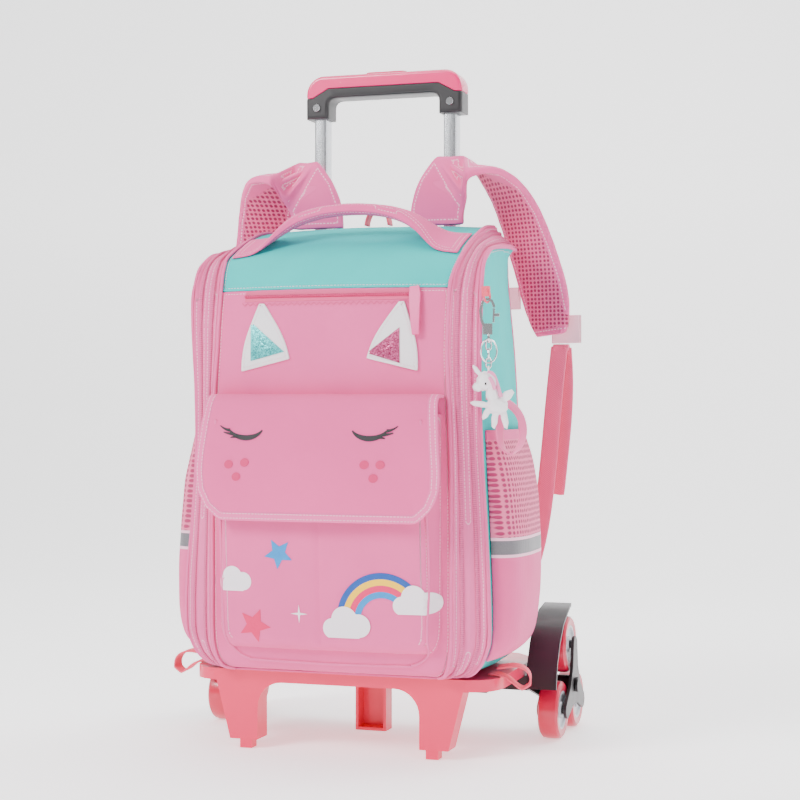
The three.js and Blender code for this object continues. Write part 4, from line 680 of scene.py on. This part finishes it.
def build_straps():
    for _, hand in HANDS:
        piece = cloth(f"shoulder_strap_{hand}", STRAP, 3, 1.0, 0.9, 0.8, 0.5)
        verts = piece.data.vertices
        peak = max(verts, key=lambda v: v.co.z).co.y
        inner = [1.0 if v.co.y > peak - 0.004 and v.normal.y < 0.2 else 0.0 for v in verts]
        piece.data.attributes.new("inner", "FLOAT", "POINT").data.foreach_set("value", inner)
        cloth(f"strap_webbing_{hand}", WEBBING, 2, 0.0, 0.2, 0.1)
        cloth(f"tie_loop_{hand}", SALMON, 2, 0.0, 0.1, 0.1)
        hard(f"adjuster_buckle_{hand}", CLEAR, 0.6)
        hard(f"chest_clip_{hand}", CLEAR, 0.6)
    cloth("hang_loop", SALMON, 2, 0.0, 0.1, 0.1)


def build_prints(shell):
    front = Printed(shell)
    white = ink("white ink", "#F4EAF2")
    cyan = ink("cyan ink", "#0086CE")
    magenta = ink("magenta ink", "#E4005E")
    blue = ink("blue ink", "#0A4CA0")
    yellow = ink("yellow ink", "#FFC800")
    black = ink("black ink", "#17141A")
    cheek = ink("cheek ink", "#D21F66")
    front.fan("print_cloud", (-93, 174), cloud(-93, 174, 19), white)
    front.fan("print_star_blue", (-44, 203), star(-44, 203, 15.5, 12), cyan)
    front.fan("print_star_magenta", (-72, 131), star(-72, 131, 17.5, 30), magenta)
    front.fan("print_sparkle", (-24, 144), [(-24 + (9 if k % 2 == 0 else 1.6) * math.cos(math.pi * k / 4),
              144 + (9 if k % 2 == 0 else 1.6) * math.sin(math.pi * k / 4)) for k in range(8)], white)
    middle = (62, 140)
    arcs = ((43, blue), (37, yellow), (31, magenta), (25, cyan))
    for radius, material in arcs:
        line = arc_line(middle, radius, radius * 1.02, range(20, 173, 3))
        front.strip(f"print_arc_{radius}", line, [6.1] * len(line), material, 0.45)
    front.fan("print_cloud_low", (26, 134), cloud(26, 134, 24), white, 1.0)
    front.fan("print_cloud_high", (96, 158), cloud(96, 158, 22), white, 1.0)
    for x, turn, name in ((-72, -1, "left"), (56, 1, "right")):
        arc = arc_line((x, 330), 19, 13, range(205, 336, 5))
        widths = [4.2 * math.sin(math.pi * (k + 0.6) / (len(arc) + 0.2)) + 1.0 for k in range(len(arc))]
        front.strip(f"lash_line_{name}", arc, widths, black, 0.5)
        for k, (base, reach) in enumerate(((0, 9.5), (4, 11.5), (8, 11.5))):
            px, pz = arc[base if turn < 0 else len(arc) - 1 - base]
            tip = (px + turn * (reach + 1.5 - k * 2.4), pz + 1.5 - k * 2.8 + 3)
            bend = [(px + (tip[0] - px) * t, pz + (tip[1] - pz) * t * t) for t in [q / 8 for q in range(9)]]
            front.strip(f"lash_{name}_{k + 1}", bend, [2.8 * (1 - q / 9) + 0.5 for q in range(9)], black, 0.5)
    for n, (x, z) in enumerate(((-89, 291), (-72, 293), (-81, 279), (52, 292), (68, 292), (61, 279))):
        front.fan(f"cheek_{n + 1}", (x, z), oval(x, z, 4.6, 4.0, 20), cheek, 0.5)
    ears = (
        (((-83.6, 432), (-46, 402), (-82, 393)), "#35C3C9", "left"),
        (((73.5, 425), (41, 400), (75, 390)), "#DE3F7C", "right"),
    )
    for corners, colour, hand in ears:
        middle = (sum(c[0] for c in corners) / 3, sum(c[1] for c in corners) / 3)
        film = glitter(f"glitter {hand}", colour)
        front.fan(f"ear_glitter_{hand}", middle, polygon_outline(corners), film, 0.5)
    stitches = []
    for k in range(64):
        stitches.append((-96 + k * 3.0, 448.5 if k % 2 else 451.5))
    front.strip("pocket_zip_zigzag", stitches, [0.9] * len(stitches), ink("stitch thread", "#D9447F"), 0.5, 1)
    chain = [(-93 + 2 * k, 458) for k in range(93)]
    front.strip("pocket_zip_tape", chain, [10.5] * len(chain), ink("zip tape", "#E0447F"), 0.4, 4)
    line = [front.land(Vector((x, 0, z)) * MM, 1.2) for x, z in chain]
    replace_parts(cord_mesh("pocket_zip_chain", line, 2.1, ZIP_DEEP, flat=0.7), "front_zip")
    outline = [(106, 335), (108, 200), (106, 130)]
    outline += arc_line((78, 118), 28, -24, range(15, 91, 15))
    outline += [(0, 93)] + [(-x, z) for x, z in reversed(outline)]
    edge = [front.land(Vector((x, 0, z)) * MM, 0.6) for x, z in outline]
    cord_mesh("pocket_piping", smooth_line(edge), 1.5, PIPING, flat=0.9)


def build_moulded():
    hard("base_tray", TRAY, 1.0)
    hard("zip_puller", PULLER, 0.6)
    hard("grip_upper", GLOSS_PINK, 1.2)
    hard("grip_lower", BLACK, 0.8)
    hard("release_button", GLOSS_PINK, 0.6)
    hard("tube_bracket", BLACK, 0.6)
    hard("axle_beam", BLACK, 0.8)
    for _, hand in HANDS:
        hard(f"outer_tube_{hand}", TUBE, 0.3)
        hard(f"inner_tube_{hand}", TUBE, 0.3)
        hard(f"grip_screw_{hand}", PLATED, 0.2)
        hard(f"wheel_spider_{hand}", BLACK, 0.8)
        hard(f"mudguard_{hand}", BLACK, 0.6)


def build_wheels():
    """Poured tyres on silver-grey moulded rims, turned about each pin."""
    for _, hand in HANDS:
        for place in ("front", "rear", "top"):
            node = f"wheel_{place}_{hand}"
            low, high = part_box(node)
            half = (high[0] - low[0]) / 2 / MM
            middle = (Vector(low) + Vector(high)) / 2
            data = frame["nodes"][node].data
            bore = min(math.hypot(v.co.y - middle.y, v.co.z - middle.z) for v in data.vertices) / MM
            tyre = (
                (-half + 0.5, 20), (-half, 22), (-half, 27), (-half + 2, 29.3), (-half / 3, 30),
                (half / 3, 30), (half - 2, 29.3), (half, 27), (half, 22), (half - 0.5, 20),
            )
            rim = (
                (-half + 0.6, 20), (half - 0.6, 20), (half - 0.6, 18), (half - 2.6, 16.5),
                (half - 2.6, bore + 4), (half - 0.8, bore + 3), (half - 0.8, bore), (-half + 0.8, bore),
                (-half + 0.8, bore + 3), (-half + 2.6, bore + 4), (-half + 2.6, 16.5), (-half + 0.6, 18),
            )
            first = turned(f"{node}_tyre", node, tyre, TYRE)
            turned(f"{node}_rim", node, rim, RIM)
            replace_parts(first, node)


def build_key_ring():
    cloth("key_tab", SALMON, 2, 0.0, 0.1, 0.1)
    for node in ("lobster_clasp", "clasp_lever", "key_ring", "chain_link_1", "chain_link_2", "chain_link_3"):
        hard(node, PLATED, 0.15, 70)
    cloth("wrist_loop", moulded("pink band rubber", "#F26AA0", 0.45), 2, 0.0, 0.2, 0.1)
    source = frame["nodes"]["charm"]
    mesh = source.data.copy()
    toy = new_object("charm_toy", mesh, TOY)
    melt = toy.modifiers.new("one moulding", "REMESH")
    melt.mode = "VOXEL"
    melt.voxel_size = 0.6 * MM
    melt.use_smooth_shade = True
    soften = toy.modifiers.new("soft edges", "SMOOTH")
    soften.iterations = 6
    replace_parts(toy, "charm")
    graph = bpy.context.evaluated_depsgraph_get()
    tree = BVHTree.FromObject(toy, graph)
    low, high = (Vector(c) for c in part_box("charm"))
    span = high - low
    look = Vector((-0.309, 0.951, 0.0))
    side = Vector((0.951, 0.309, 0.0))
    middle = (low + high) / 2

    def on_toy(across, up, lift_mm):
        place = middle + side * across * span.x * 0.5
        place.z = low.z + span.z * up
        hit = tree.ray_cast(place - look * 0.2, look)
        return (hit[0] - look * lift_mm * MM) if hit[0] else None

    locks = (
        ((-0.1, 0.93), (0.25, 0.9), (0.5, 0.76), (0.62, 0.58)),
        ((-0.2, 0.88), (0.1, 0.82), (0.34, 0.68), (0.42, 0.5)),
        ((-0.3, 0.9), (-0.12, 0.8), (0.02, 0.72), (0.12, 0.62)),
    )
    for n, lock in enumerate(locks):
        line = [p for p in (on_toy(a, u, 0.4) for a, u in lock) if p is not None]
        if len(line) > 2:
            cord_mesh(f"charm_mane_{n + 1}", smooth_line(line, 0.6), 1.9, TOY_PINK, 10)
    eye = on_toy(-0.3, 0.7, 0.2)
    if eye is not None:
        cord_mesh("charm_eye", [eye + Vector((0, 0, d * MM)) for d in (-1.2, -0.4, 0.4, 1.2)], 0.8,
                  moulded("black toy paint", "#141216", 0.2))


# Setting
def build_setting():
    floor = bpy.data.meshes.new("floor")
    size = 9.0
    behind = 1.2
    bend = 0.8
    rows = [(-size, 0.0), (behind, 0.0)]
    turns = [math.pi * k / 16 for k in range(1, 9)]
    rows += [(behind + bend * math.sin(turn), bend * (1 - math.cos(turn))) for turn in turns]
    rows.append((behind + bend, size))
    verts = [(x, y, z - 0.0004) for y, z in rows for x in (-size, size)]
    floor.from_pydata(verts, [], [(2 * i, 2 * i + 1, 2 * i + 3, 2 * i + 2) for i in range(len(rows) - 1)])
    paper = Surface("white paper", Roughness=0.75, Emission_Strength=0.8)
    paper.set(paper.shader, {"Emission Color": (1, 1, 1, 1)})
    paper.finish(paper.mix(paper.noise(300, 2), linear("#FBFBFC"), linear("#FFFFFF")))
    backdrop = new_object("studio_paper", floor, paper.material, None)
    world = bpy.data.worlds.new("studio")
    bpy.context.scene.world = world
    world.use_nodes = True
    world.node_tree.nodes["Background"].inputs[0].default_value = (1, 1, 1, 1)
    world.node_tree.nodes["Background"].inputs[1].default_value = 0.42
    lamps = (
        ("key", (-1.1, -1.7, 1.7), 0.9, 66),
        ("fill", (1.7, -1.3, 1.0), 1.3, 18),
        ("top", (0.1, 0.2, 2.3), 1.4, 26),
        ("back", (0.9, 1.0, 1.5), 0.8, 14),
    )
    for name, place, size, power in lamps:
        light = bpy.data.lights.new(name, "AREA")
        light.size = size
        light.energy = power
        lamp = bpy.data.objects.new(name, light)
        lamp.location = place
        lamp.rotation_euler = (Vector((0, 0, 0.35)) - Vector(place)).to_track_quat("-Z", "Y").to_euler()
        bpy.context.scene.collection.objects.link(lamp)
    camera = bpy.data.cameras.new("camera")
    camera.lens = 80.5
    camera.sensor_width = 36
    eye = bpy.data.objects.new("camera", camera)
    eye.location = (0.6131, -1.7768, 0.354)
    eye.rotation_euler = (math.pi / 2, 0, math.radians(18))
    bpy.context.scene.collection.objects.link(eye)
    bpy.context.scene.camera = eye


shell = build_shell()
build_band_lines()
build_straps()
build_moulded()
build_wheels()
build_key_ring()
build_prints(shell)
build_setting()
